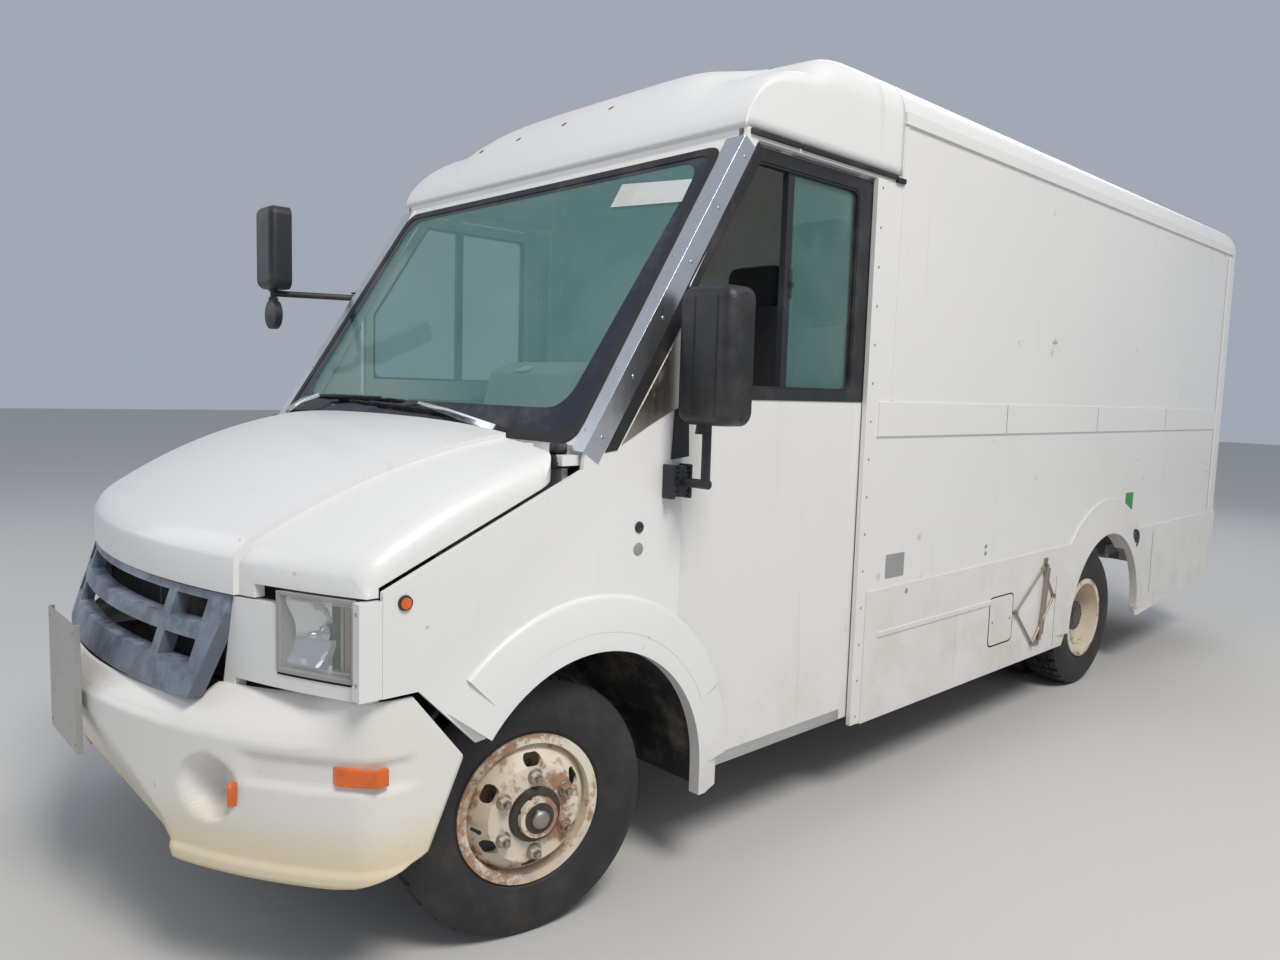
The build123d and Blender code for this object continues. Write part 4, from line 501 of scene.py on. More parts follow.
# %% [markdown]
# Small shapes come from a few helpers: a block with bevelled edges, a round bar between two
# points, a lathe, and a flat outline pushed out into a plate or, with a second outline, a ring.

# %% Blocks, bars, plates and rings
both_sides = (("left", 1), ("right", -1))

def block(bm, low, high, bevel=0.0, segments=2):
    low, high = Vector(low), Vector(high)
    made = bmesh.ops.create_cube(bm, size=1.0)["verts"]
    size = high - low
    bmesh.ops.scale(bm, vec=(abs(size.x), abs(size.y), abs(size.z)), verts=made)
    bmesh.ops.translate(bm, vec=(low + high) / 2, verts=made)
    if bevel:
        edges = list({e for v in made for e in v.link_edges})
        bmesh.ops.bevel(bm, geom=edges, offset=bevel, offset_type="OFFSET", segments=segments, profile=0.5,
                        affect="EDGES", clamp_overlap=True, material=-1)


def block_at(bm, spot, low, high, bevel=0.0):
    """A block whose corners are given from a spot."""
    block(bm, spot + Vector(low), spot + Vector(high), bevel)


def side_block(bm, sign, x, y, z, bevel=0.0):
    """A block on one side, from its spans across, behind the front axle and in height."""
    block(bm, (sign * x[0], front_axle + y[0], z[0]), (sign * x[1], front_axle + y[1], z[1]), bevel)


def aim(direction):
    """The turn that takes +Z to a direction."""
    return Vector(direction).normalized().to_track_quat("Z", "Y").to_matrix().to_4x4()


def bar(bm, start, end, radius, tip=None, steps=16):
    start, end = Vector(start), Vector(end)
    matrix = Matrix.Translation((start + end) / 2) @ aim(end - start)
    bmesh.ops.create_cone(bm, cap_ends=True, segments=steps, radius1=radius,
                          radius2=radius if tip is None else tip, depth=(end - start).length, matrix=matrix)


def lathe(bm, profile, centre, axis, steps=48):
    """Turns (radius, height) points round an axis through a centre."""
    matrix = Matrix.Translation(centre) @ aim(axis)
    line = [bm.verts.new(matrix @ Vector((r, 0, h))) for r, h in profile]
    edges = [bm.edges.new(pair) for pair in zip(line, line[1:])]
    bmesh.ops.spin(bm, geom=line + edges, cent=centre, axis=Vector(axis).normalized(), angle=math.tau,
                   steps=steps, use_merge=True)


def plate(bm, outline, push):
    """A closed outline of points, pushed out into a plate."""
    face = bm.faces.new([bm.verts.new(p) for p in outline])
    out = bmesh.ops.extrude_face_region(bm, geom=[face])
    bmesh.ops.translate(bm, vec=push, verts=[v for v in out["geom"] if isinstance(v, bmesh.types.BMVert)])


def ring(bm, outer, inner, push):
    """A flat frame between two outlines with the same number of corners, pushed out."""
    first = [bm.verts.new(p) for p in outer]
    second = [bm.verts.new(p) for p in inner]
    count = len(first)
    faces = [bm.faces.new((first[i], first[(i + 1) % count], second[(i + 1) % count], second[i]))
             for i in range(count)]
    out = bmesh.ops.extrude_face_region(bm, geom=faces)
    bmesh.ops.translate(bm, vec=push, verts=[v for v in out["geom"] if isinstance(v, bmesh.types.BMVert)])


def bridge(bm, ends):
    """Joins two like outlines of vertices into a closed bar."""
    count = len(ends[0])
    for i in range(count):
        bm.faces.new((ends[0][i], ends[0][(i + 1) % count], ends[1][(i + 1) % count], ends[1][i]))
    for end in ends:
        bm.faces.new(end)


def rounded(corners, radius, steps=5):
    """The outline with its corners rounded, as a list of points."""
    points = []
    count = len(corners)
    for i, corner in enumerate(Vector(c) for c in corners):
        before = (Vector(corners[i - 1]) - corner).normalized()
        after = (Vector(corners[(i + 1) % count]) - corner).normalized()
        half = before.angle(after) / 2
        reach = radius / math.tan(half)
        first, last = corner + before * reach, corner + after * reach
        for k in range(steps + 1):
            t = k / steps
            points.append((1 - t) ** 2 * first + 2 * t * (1 - t) * corner + t * t * last)
    return points


def upright(x, z, y, radius, steps=5, grow=0.0):
    """A rounded rectangle that stands across the van, from its spans in x and z."""
    x0, x1, z0, z1 = x[0] - grow, x[1] + grow, z[0] - grow, z[1] + grow
    return rounded([(x0, y, z0), (x1, y, z0), (x1, y, z1), (x0, y, z1)], radius, steps)


def dome(bm, place, normal, radius, height=0.4):
    """A button head: a few-sided half ball, flattened."""
    matrix = Matrix.Translation(place) @ aim(normal) @ Matrix.Diagonal((1, 1, height, 1))
    bmesh.ops.create_uvsphere(bm, u_segments=8, v_segments=4, radius=radius, matrix=matrix)


def row(bm, start, end, count, normal, radius):
    for i in range(count):
        dome(bm, Vector(start).lerp(Vector(end), i / max(1, count - 1)), normal, radius)


surfaces = {}


def touch(node, start, direction):
    """Where a ray first meets a solid, and the surface's normal there."""
    if node not in surfaces:
        bm = bmesh.new()
        bm.from_mesh(nodes[node].data)
        surfaces[node] = BVHTree.FromBMesh(bm)
        bm.free()
    place, normal, _, _ = surfaces[node].ray_cast(Vector(start), Vector(direction).normalized())
    if place is None:
        raise ValueError(f"no {node} from {tuple(start)}")
    return place, normal


def box_of(node):
    """The low and high corners of a solid."""
    corners = [v.co for v in nodes[node].data.vertices]
    return (Vector(min(c[i] for c in corners) for i in range(3)),
            Vector(max(c[i] for c in corners) for i in range(3)))


def at_side(y, z, x=body_side):
    """A point on the driver's side, from its distance behind the front axle and its height."""
    return Vector((x, front_axle + y, z))

# %% [markdown]
# The fibreglass cap is rounder than its solid: where the brow meets the sides, real moulding
# flows. So the cap is made again on a grid. One curve is the roof's section, the other the
# brow seen from the side, and a soft minimum joins them, softest at the front corners.

# %% The roof cap as one moulding
cap_front = front_axle + 0.690
cap_low = 2.440
cap_top = 2.862
cap_length = 0.907


def circle_through(a, b, c):
    (x1, y1), (x2, y2), (x3, y3) = a, b, c
    d = 2 * (x1 * (y2 - y3) + x2 * (y3 - y1) + x3 * (y1 - y2))
    squares = [x * x + y * y for x, y in (a, b, c)]
    x = (squares[0] * (y2 - y3) + squares[1] * (y3 - y1) + squares[2] * (y1 - y2)) / d
    y = (squares[0] * (x3 - x2) + squares[1] * (x1 - x3) + squares[2] * (x2 - x1)) / d
    return x, y, math.hypot(x1 - x, y1 - y)


def roof_line():
    """Half of the roof's section, from the side's foot to the middle, as (x, z)."""
    edge_z, eave = 2.805, 0.160
    radius = (body_side ** 2 + (cap_top - edge_z) ** 2) / (2 * (cap_top - edge_z))
    centre = cap_top - radius
    x0 = body_side - eave
    z0 = centre + math.sqrt((radius - eave) ** 2 - x0 ** 2)
    points = [(body_side, cap_low + (z0 - cap_low) * i / 6) for i in range(6)]
    last = math.atan2(z0 - centre, x0)
    points += [(x0 + eave * math.cos(last * i / 14), z0 + eave * math.sin(last * i / 14)) for i in range(15)]
    tangent = points[-1][0]
    return points + [(x, centre + math.sqrt(radius ** 2 - x * x)) for x in
                     (tangent * (1 - i / 16) for i in range(1, 17))]


def brow_line():
    """The brow from its foot to the roof, as (distance behind the front, z)."""
    reach = 0.780
    x, y, radius = circle_through((0.0, 2.480), (reach * 0.27, cap_top - 0.130), (reach, cap_top))
    first, last = (math.atan2(pz - y, py - x) % math.tau for py, pz in ((0.0, 2.480), (reach, cap_top)))
    points = [(-0.008, cap_low), (-0.004, 2.462)]
    turns = [first + (last - first) * i / 26 for i in range(27)]
    points += [(x + radius * math.cos(a), y + radius * math.sin(a)) for a in turns]
    return points + [(reach + (cap_length - reach) * i / 5, cap_top + 0.35 * (cap_length - reach) * i / 5)
                     for i in range(1, 6)]


def eased(low, high, value):
    t = min(1.0, max(0.0, (value - low) / (high - low)))
    return t * t * (3 - 2 * t)


def cap_z(x, z_section, y, z_brow):
    a, b = z_section - cap_low, z_brow - cap_low
    if a <= 0 or b <= 0:
        return cap_low
    power = 20 - 17.8 * eased(0.25, 0.80, abs(x)) * (1 - eased(0.35, 0.80, y))
    small, large = min(a, b), max(a, b)
    return cap_low + small * (1 + (small / large) ** power) ** (-1 / power)


half_line = roof_line()
section = half_line + [(-x, z) for x, z in reversed(half_line[:-1])]
bm = bmesh.new()
lines = [[bm.verts.new((x, cap_front + y, cap_z(x, z, y, z_brow))) for x, z in section]
         for y, z_brow in brow_line()]
for one, other in zip(lines, lines[1:]):
    for i in range(len(section) - 1):
        corners = [one[i], one[i + 1], other[i + 1], other[i]]
        if len({tuple(round(c, 5) for c in v.co) for v in corners}) == 4:
            bm.faces.new(corners)
loose = [v for v in bm.verts if not v.link_faces]
bmesh.ops.delete(bm, geom=loose, context="VERTS")
bmesh.ops.remove_doubles(bm, verts=bm.verts, dist=0.0015)
cap = piece("roof_cap", bm, cap_white, crease=50.0)
thick = cap.modifiers.new("thickness", "SOLIDIFY")
thick.thickness = 0.022
thick.offset = -1
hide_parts("cab_roof")
cap_faces = BVHTree.FromPolygons([v.co.copy() for v in cap.data.vertices],
                                 [list(p.vertices) for p in cap.data.polygons])

# %% [markdown]
# Along the brow five old fixings have bled rust: a small bolt head in a thin brown stain.

# %% Rusty fixings on the brow
cap_spots = [(-0.62, 0.812), (-0.350, 0.822), (-0.050, 0.834), (0.220, 0.852), (0.750, 1.170)]
bolts, stains = bmesh.new(), bmesh.new()
for x, y in cap_spots:
    place, normal, _, _ = cap_faces.ray_cast(Vector((x, front_axle + y, 3.5)), Vector((0, 0, -1)))
    dome(bolts, place, normal, 0.0050)
    lathe(stains, [(0.0, 0.0008), (0.009, 0.0008), (0.013, 0.0002)], place, normal, 14)
piece("cap_bolts", bolts, rusty_nut, merge=False)
piece("cap_stains", stains, brake_iron)

# %% [markdown]
# The moulded bumper is soft where its solid has corners. Like the cap it is a grid: columns run
# along its plan curve, rows run up its height, and sums of eased steps push the grid in where
# the real one has its lip, scoop, lamp wells, side groove and sloping shelf.

# %% The bumper as one moulding
bumper_axis = front_axle + 0.525
bumper_radius = 1.515
bumper_half = 1.053
corner = 0.150
corner_y = bumper_axis - math.sqrt((bumper_radius - corner) ** 2 - (bumper_half - corner) ** 2)
corner_turn = math.atan2(bumper_axis - corner_y, bumper_half - corner)
arc_length = bumper_radius * (math.pi / 2 - corner_turn)
shelf_z = 0.716


def bumper_plan(s):
    """Point and outward direction at a length s along the bumper from its middle."""
    if s < arc_length:
        a = s / bumper_radius
        out = Vector((math.sin(a), -math.cos(a), 0))
        return Vector((0, bumper_axis, 0)) + out * bumper_radius, out
    a = (s - arc_length) / corner - corner_turn
    if a < 0:
        out = Vector((math.cos(a), math.sin(a), 0))
        return Vector((bumper_half - corner, corner_y, 0)) + out * corner, out
    return Vector((bumper_half, corner_y + a * corner, 0)), Vector((1, 0, 0))


def length_to(y):
    """How far along the bumper reaches a distance y behind its front."""
    if y > corner_y:
        return arc_length + corner_turn * corner + y - corner_y
    low, high = 0.0, arc_length + corner_turn * corner
    for _ in range(30):
        middle = (low + high) / 2
        if bumper_plan(middle)[0].y < y:
            low = middle
        else:
            high = middle
    return low


def rear_edge(z):
    """The slanted ends beside the tyres."""
    marks = [(0.350, -0.640), (0.410, -0.424), (0.640, -0.320), (0.842, -0.480)]
    for (z0, y0), (z1, y1) in zip(marks, marks[1:]):
        if z <= z1:
            return front_axle + y0 + (y1 - y0) * (z - z0) / (z1 - z0)
    return front_axle + marks[-1][1]


def bumper_point(column, height, sign):
    x_guess = 1.3 * column
    foot = 0.396 - 0.046 * eased(0.450, 0.530, x_guess)
    top = 0.778 + 0.037 * eased(0.610, 0.680, x_guess) + 0.014 * eased(0.86, 1.02, x_guess)
    z = foot + (top - foot) * height
    spot, out = bumper_plan(column * length_to(rear_edge(z)))
    x = spot.x
    softened = z - shelf_z + 0.010 * math.exp(-abs(z - shelf_z) / 0.010)
    push = math.tan(math.radians(40.0)) * (1 - eased(0.87, 1.04, x)) * max(0.0, softened)
    push -= 0.008 * (1 - eased(0.386, 0.400, z)) * eased(0.45, 0.54, x)
    push += 0.012 * (1 - eased(foot, foot + 0.013, z))
    groove = eased(0.592, 0.612, z) * (1 - eased(0.664, 0.684, z)) * eased(0.735, 0.80, x)
    push += 0.010 * groove * (1 - eased(-0.50, -0.44, spot.y - front_axle))
    place = spot - out * push
    # The scoop's face leans: from its top edge to its foot it goes back and grows wider
    fall = (0.668 - z) / 0.272
    scoop_half = 0.455 + fall * 0.067
    scoop_y = front_axle - 0.986 + fall * 0.114
    inside = (1 - eased(scoop_half - 0.012, scoop_half + 0.034, x)) * (1 - eased(0.648, 0.690, z))
    place.y += inside * max(0.0, scoop_y - place.y)
    well = 1 - eased(0.056, 0.088, math.hypot(x - 0.668, z - 0.565))
    place.y += well * max(0.0, front_axle - 0.768 - place.y)
    return Vector((sign * place.x, place.y, z))


bm = bmesh.new()
columns, rows = 120, 52
grid = []
for j in range(rows + 1):
    height = (j / rows) ** 1.15
    right = [bm.verts.new(bumper_point(i / columns, height, -1)) for i in range(columns, 0, -1)]
    grid.append(right + [bm.verts.new(bumper_point(i / columns, height, 1)) for i in range(columns + 1)])
for one, other in zip(grid, grid[1:]):
    for i in range(len(one) - 1):
        bm.faces.new((one[i], one[i + 1], other[i + 1], other[i]))
bumper = piece("bumper_moulding", bm, bumper_white, crease=60.0)
thick = bumper.modifiers.new("thickness", "SOLIDIFY")
thick.thickness = 0.010
thick.offset = -1
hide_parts("front_bumper")
bm = bmesh.new()
for sign in (1, -1):
    block(bm, (sign * 0.395, front_axle - 0.895, 0.585), (sign * 0.465, front_axle - 0.772, 0.720), 0.006)
piece("bumper_brackets", bm, frame_black)

# %% [markdown]
# The front arches have a flare whose outer edge stands a little proud. A closed section is
# carried round the arch's centre to make that edge.

# %% Flare edges on the front arches


def arc_band(bm, centre, section, sign, first, last, steps):
    """Carries a (radius, x) section round an axis across the van, between two angles."""
    rings = []
    for k in range(steps + 1):
        a = math.radians(first + (last - first) * k / steps)
        rings.append([bm.verts.new((sign * x, centre[0] + r * math.cos(a), centre[1] + r * math.sin(a)))
                      for r, x in section])
    count = len(section)
    for one, other in zip(rings, rings[1:]):
        for i in range(count):
            bm.faces.new((one[i], one[(i + 1) % count], other[(i + 1) % count], other[i]))
    bm.faces.new(rings[0])
    bm.faces.new(rings[-1])


for side, sign in both_sides:
    bm = bmesh.new()
    edge = [(0.505, body_side + 0.0235), (0.598, body_side + 0.0125), (0.606, body_side + 0.0095),
            (0.611, body_side + 0.0035), (0.612, body_side - 0.001), (0.505, body_side - 0.001)]
    arc_band(bm, (front_axle + 0.095, 0.400), edge, sign, 25, 133, 68)
    piece(f"flare_edge_{side}", bm, gelcoat_white, crease=50.0)
print("mouldings done")

# %% [markdown]
# A truck tyre is a lathe shape with a cut tread. The carcass is spun from its section. The tread
# band is then divided round the tyre: faces of the ribs are inset and sunk to make the slots
# between blocks. Six wheels share the one mesh recipe, at the six wheel centres.

# %% Tyres
tyre_half = 0.108


def tyre(bm, centre, axis):
    centre = Vector(centre)
    section = [(0.206, -0.0915), (0.226, -0.093), (0.234, -0.100), (0.262, -0.106), (0.268, -0.1085),
               (0.300, -tyre_half), (0.330, -0.106), (0.352, -0.100), (0.364, -0.094)]
    tread = [(0.378, -0.085), (0.3845, -0.072), (0.3855, -0.052), (0.376, -0.049), (0.376, -0.043),
             (0.386, -0.040), (0.386, -0.020), (0.376, -0.017), (0.376, -0.011), (0.386, -0.008)]
    half = section + tread
    profile = half + [(r, -h) for r, h in reversed(half)]
    lathe(bm, profile + [profile[0]], centre, axis, 96)
    turn = aim(axis).to_3x3().inverted()
    bm.faces.ensure_lookup_table()
    bm.normal_update()
    blocks = []
    for face in bm.faces:
        local = turn @ (face.calc_center_median() - centre)
        radius = math.hypot(local.x, local.y)
        pitch = round((math.atan2(local.y, local.x) / math.tau) * 96 + 0.5)
        shoulder = abs(local.z) > 0.052 and radius > 0.372
        middle = radius > 0.3835 and abs(local.z) < 0.045
        if shoulder and pitch % 3 == 0 or middle and (pitch + (2 if local.z > 0 else 0)) % 4 == 0:
            blocks.append(face)
    cut = bmesh.ops.inset_individual(bm, faces=blocks, thickness=0.0022, use_even_offset=True)
    for face in blocks:
        inward = (centre - face.calc_center_median())
        inward -= inward.project(Vector(axis))
        bmesh.ops.translate(bm, vec=inward.normalized() * 0.007, verts=face.verts)
    return len(cut["faces"])


front_axes = {}
for side, sign in both_sides:
    outward = Vector(joints[f"front_{side}_spin"]["axis"]).normalized()
    front_axes[side] = outward if outward.x * sign > 0 else -outward
front_hubs = {side: Vector(joints[f"front_{side}_spin"]["pos_m"]) for side, sign in both_sides}
twin_x = (0.905, 0.661)
stud_circle = 0.1111
for side, sign in both_sides:
    bm = bmesh.new()
    tyre(bm, front_hubs[side], front_axes[side])
    made = piece(f"front_tyre_{side}_tread", bm, tyre_rubber, 28.0, body=f"front_{side}_wheel")
    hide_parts(f"front_tyre_{side}")
    bm = bmesh.new()
    for x in twin_x:
        tyre(bm, (sign * x, rear_axle, hub_height), (sign, 0, 0))
    made = piece(f"rear_tyres_{side}_tread", bm, tyre_rubber, 28.0, body=f"rear_{side}_wheels")
    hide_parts(f"rear_tyres_{side}")

# %% [markdown]
# On the wheel itself: a rusted nut on each stud, the greasy hub with its ring of small bolts,
# and a valve stem. They all turn with the wheel, so they ride on its body.

# %% Wheel nuts, hub and valve
for side, sign in both_sides:
    hub, axis = front_hubs[side], front_axes[side]
    frame_turn = aim(axis)

    def on_wheel(radius, angle, out, hub=hub, turn=frame_turn):
        a = math.radians(angle)
        return hub + turn @ Vector((radius * math.cos(a), radius * math.sin(a), out))

    spin_start = math.degrees(math.atan2(*(frame_turn.to_3x3().inverted() @ Vector((0, 0, 1))).yx))
    nuts = bmesh.new()
    for k in range(6):
        angle = spin_start + 60 * k
        for low, high, wide, tip, steps in ((0.130, 0.136, 0.024, 0.021, 20), (0.136, 0.155, 0.0165, 0.0155, 6),
                                            (0.155, 0.166, 0.0105, 0.009, 12)):
            bar(nuts, on_wheel(stud_circle, angle, low), on_wheel(stud_circle, angle, high), wide, tip, steps)
    made = piece(f"wheel_nuts_{side}", nuts, rusty_nut, body=f"front_{side}_wheel")
    soften(made, 0.0012)
    cap = bmesh.new()
    outer = [(0.000, 0.176), (0.020, 0.176), (0.026, 0.172), (0.030, 0.166), (0.044, 0.165), (0.049, 0.160),
             (0.051, 0.150), (0.064, 0.146), (0.076, 0.142), (0.080, 0.136), (0.081, 0.128), (0.060, 0.1285)]
    lathe(cap, outer, hub, axis, 48)
    for k in range(8):
        dome(cap, on_wheel(0.058, spin_start + 22 + 45 * k, 0.149), axis, 0.006, 0.8)
    piece(f"hub_cap_{side}", cap, greasy_hub, body=f"front_{side}_wheel")
    boss = bmesh.new()
    lathe(boss, [(0.0, 0.184), (0.017, 0.183), (0.025, 0.178), (0.0265, 0.1745), (0.010, 0.1742)], hub, axis, 32)
    piece(f"hub_plug_{side}", boss, rusty_nut, body=f"front_{side}_wheel")
    stem = bmesh.new()
    foot, middle, tip = (on_wheel(r, spin_start + 95, out)
                         for r, out in ((0.180, 0.100), (0.172, 0.130), (0.170, 0.138)))
    bar(stem, foot, middle, 0.005, 0.0045, 10)
    bar(stem, middle, tip, 0.006, 0.0055, 10)
    piece(f"valve_stem_{side}", stem, black_rubber, body=f"front_{side}_wheel")

    # Rear: nuts and the hub's end, deep inside the dished wheel
    centre = Vector((sign * twin_x[0], rear_axle, hub_height))
    out = Vector((sign, 0, 0))
    nuts = bmesh.new()
    for k in range(6):
        a = math.radians(60 * k)
        inner = centre + Vector((0, math.sin(a), math.cos(a))) * stud_circle - out * 0.084
        bar(nuts, inner, inner + out * 0.022, 0.0165, 0.0155, 6)
        bar(nuts, inner + out * 0.022, inner + out * 0.034, 0.010, 0.009, 10)
    made = piece(f"rear_nuts_{side}", nuts, rusty_nut, body=f"rear_{side}_wheels")
    soften(made, 0.0012)
    end = bmesh.new()
    lathe(end, [(0.0, 0.062), (0.030, 0.062), (0.052, 0.060), (0.056, 0.056), (0.0785, 0.0555), (0.0835, 0.051),
                (0.0838, 0.042)], centre, out, 40)
    for k in range(8):
        a = math.tau * k / 8
        dome(end, centre + out * 0.0558 + Vector((0, math.sin(a), math.cos(a))) * 0.068, out, 0.007, 0.8)
    piece(f"rear_hub_{side}", end, greasy_hub, body=f"rear_{side}_wheels")
print("wheels done")

# %% [markdown]
# The two sides are alike, so every trim piece is made once for +X and once for -X. Points are
# given as (distance behind the front axle, height) and turned into the van's frame by a helper.
# Trim on a sliding door rides on that door.

# %% Flat trim on the sides


def side_points(pairs, sign, x):
    return [Vector((sign * x, front_axle + y, z)) for y, z in pairs]


def side_plate(name, pairs, sign, x, thick, material, edge=0.0012):
    bm = bmesh.new()
    plate(bm, side_points(pairs, sign, x), (sign * thick, 0, 0))
    made = piece(name, bm, material)
    soften(made, edge)
    return made


def corner_radius(pairs, radius):
    """Rounds an outline given as (y, z) pairs."""
    return [(p.x, p.y) for p in rounded([Vector((y, z, 0)) for y, z in pairs], radius)]


for side, sign in both_sides:
    door = f"{side}_cab_door"
    # The window's black frame, riveted on round both panes
    outer = corner_radius([(0.457, 1.580), (0.457, 1.903), (0.768, 2.397), (1.433, 2.397), (1.433, 1.580)], 0.012)
    inner = corner_radius([(0.492, 1.619), (0.492, 1.914), (0.777, 2.353), (1.350, 2.353), (1.350, 1.619)], 0.035)
    bm = bmesh.new()
    ring(bm, side_points(outer, sign, door_face), side_points(inner, sign, door_face), (sign * 0.0035, 0, 0))
    side_block(bm, sign, (door_face - 0.0305, door_face - 0.0050), (0.9403, 0.9737), (1.6175, 2.3555))
    made = piece(f"window_frame_{side}", bm, black_plastic, body=door)
    soften(made, 0.0012)
    # A rubber lip runs round the opening, and a channel carries the sliding pane
    tight = corner_radius([(0.500, 1.627), (0.500, 1.910), (0.782, 2.345), (1.342, 2.345), (1.342, 1.627)], 0.032)
    bm = bmesh.new()
    ring(bm, side_points(inner, sign, door_face - 0.026), side_points(tight, sign, door_face - 0.026),
         (sign * 0.0265, 0, 0))
    piece(f"window_lip_{side}", bm, black_rubber, body=door)
    bm = bmesh.new()
    for x0, x1, y0, y1, z0, z1, bevel in (
            (-0.024, -0.009, 0.962, 0.974, 1.627, 2.345, 0.002),
            (-0.024, -0.009, 1.330, 1.342, 1.627, 2.345, 0.002),
            (-0.016, -0.001, 0.962, 0.981, 1.930, 2.030, 0.004),
            (-0.004, 0.006, 0.964, 0.979, 1.965, 1.985, 0.003)):
        side_block(bm, sign, (door_face + x0, door_face + x1), (y0, y1), (z0, z1), bevel)
    piece(f"pane_channel_{side}", bm, black_plastic, body=door)
    bm = bmesh.new()
    for start, end, count in (((0.500, 1.599), (1.415, 1.599), 11), ((1.392, 1.66), (1.392, 2.34), 8),
                              ((0.800, 2.376), (1.392, 2.376), 7), ((0.474, 1.66), (0.474, 1.87), 3)):
        row(bm, *side_points((start, end), sign, door_face + 0.0033), count, (sign, 0, 0), 0.0042)
    piece(f"window_rivets_{side}", bm, black_plastic, merge=False, body=door)
    # A kick strip near the door's sill
    bm = bmesh.new()
    side_block(bm, sign, (door_face - 0.001, door_face + 0.003), (0.640, 1.380), (0.352, 0.392), 0.0015)
    piece(f"door_sill_strip_{side}", bm, sheet_aluminium, body=door)

    # Pillar: a stainless angle with screws, then a black seal down to the belt
    low = Vector((sign * body_side, front_axle + 0.050, 1.424))
    high = Vector((sign * body_side, front_axle + 0.684, 2.411))
    along = (high - low).normalized()
    out = Vector((0, -along.z, along.y))
    inward = Vector((-sign, 0, 0))

    def angle_section(at, reach):
        c = at + out * 0.0035 - inward * 0.0022
        return [c, c + inward * reach, c + inward * reach - out * 0.003, c - out * 0.003 + inward * 0.002,
                c - out * 0.068 + inward * 0.002, c - out * 0.068]

    bm = bmesh.new()
    bridge(bm, [[bm.verts.new(p) for p in angle_section(*end)] for end in ((low, 0.058), (high, 0.082))])
    made = piece(f"pillar_strip_{side}", bm, stainless)
    soften(made, 0.0015)
    bm = bmesh.new()
    for k in range(6):
        at = low.lerp(high, 0.06 + k * 0.178)
        dome(bm, at - out * 0.034 - inward * 0.0022, (sign, 0, 0), 0.0065)
        dome(bm, at + out * 0.0033 + inward * (0.035 + k * 0.004), out, 0.0055)
    piece(f"pillar_screws_{side}", bm, plated_steel, merge=False)
    seal = [(0.128, 1.421), (0.176, 1.427), (0.452, 1.842), (0.452, 1.925), (0.758, 2.395), (0.742, 2.400)]
    side_plate(f"pillar_seal_{side}", seal, sign, body_side, 0.0025, black_rubber)
    side_plate(f"quarter_{side}", [(0.190, 1.440), (0.449, 1.829), (0.449, 1.566), (0.300, 1.497)],
               sign, body_side, 0.0015, quarter_steel)
    # Drip strip under the cap, with a chipped start
    bm = bmesh.new()
    for y0, y1, z0, z1, x in ((0.706, 0.960, 2.420, 2.438, 0.011), (0.968, 1.560, 2.420, 2.438, 0.011),
                              (1.553, 1.610, 2.412, 2.431, 0.013)):
        side_block(bm, sign, (body_side - 0.002, body_side + x), (y0, y1), (z0, z1), 0.003)
    piece(f"drip_strip_{side}", bm, black_rubber)

    # Bolts down the guard strip, and rivets along the wall's rails, ledge and corner
    bm = bmesh.new()
    guard = side_points(((1.459, 0.352), (1.459, 2.375)), sign, body_side + 0.0068)
    row(bm, *guard, 15, (sign, 0, 0), 0.0058)
    piece(f"guard_bolts_{side}", bm, rusty_nut, merge=False)
    bm = bmesh.new()
    for y0, z0, y1, z1, count, x, radius in (
            (1.640, 2.654, 5.760, 2.654, 42, 0.0098, 0.0036), (1.560, 1.462, 5.660, 1.462, 28, 0.0078, 0.0032),
            (1.560, 1.573, 5.660, 1.573, 28, 0.0078, 0.0032), (1.530, 0.826, 3.190, 0.822, 10, 0.0098, 0.0055),
            (4.640, 0.838, 5.740, 0.850, 7, 0.0098, 0.0055), (1.530, 0.350, 3.280, 0.350, 9, 0.0098, 0.005),
            (4.560, 0.470, 5.740, 0.560, 6, 0.0098, 0.005)):
        row(bm, *side_points(((y0, z0), (y1, z1)), sign, body_side + x), count, (sign, 0, 0), radius)
    piece(f"wall_rivets_{side}", bm, skirt_white, merge=False)
    # Seams: the wall's rear corner strip, the skirt's joints and the rub band's joints
    bm = bmesh.new()
    for y0, y1, z0, z1, x in ((5.690, 5.696, 0.875, 2.585, 0.0002), (5.742, 5.790, 0.880, 2.632, 0.0022),
                              (1.602, 1.622, 1.59, 2.632, 0.0030)):
        side_block(bm, sign, (body_side - 0.002, body_side + x), (y0, y1), (z0, z1))
    piece(f"corner_strips_{side}", bm, wall_white)
    bm = bmesh.new()
    for y0, y1, z0, z1, x in ((5.6965, 5.7005, 0.877, 2.60, 0.0004), (3.640, 3.643, 1.452, 1.583, 0.0084),
                              (3.255, 3.258, 0.33, 0.70, 0.0104), (4.640, 4.644, 0.44, 0.845, 0.0104),
                              (2.580, 2.583, 1.452, 1.583, 0.0084), (4.700, 4.703, 1.452, 1.583, 0.0084)):
        side_block(bm, sign, (body_side - 0.002, body_side + x), (y0, y1), (z0, z1))
    piece(f"seam_lines_{side}", bm, shadow_gap)

    # Lock and vent discs ahead of the door
    lock = [(0.0, 0.0035), (0.006, 0.0035), (0.0085, 0.0060), (0.0150, 0.0052), (0.0175, 0.0)]
    plug = [(0.0, 0.003), (0.0165, 0.0028), (0.0190, 0.0015), (0.0195, 0.0)]
    for name, y, z, disc, finish, slot in (("door_lock", 0.272, 1.196, lock, black_plastic, "black_plastic"),
                                           ("vent_plug", 0.271, 1.130, plug, grey_label, "grey_plastic")):
        place, normal = touch("fenders", (sign * 1.3, front_axle + y, z), (-sign, 0, 0))
        bm = bmesh.new()
        lathe(bm, disc, place, normal, 28)
        piece(f"{name}_{side}", bm, finish)

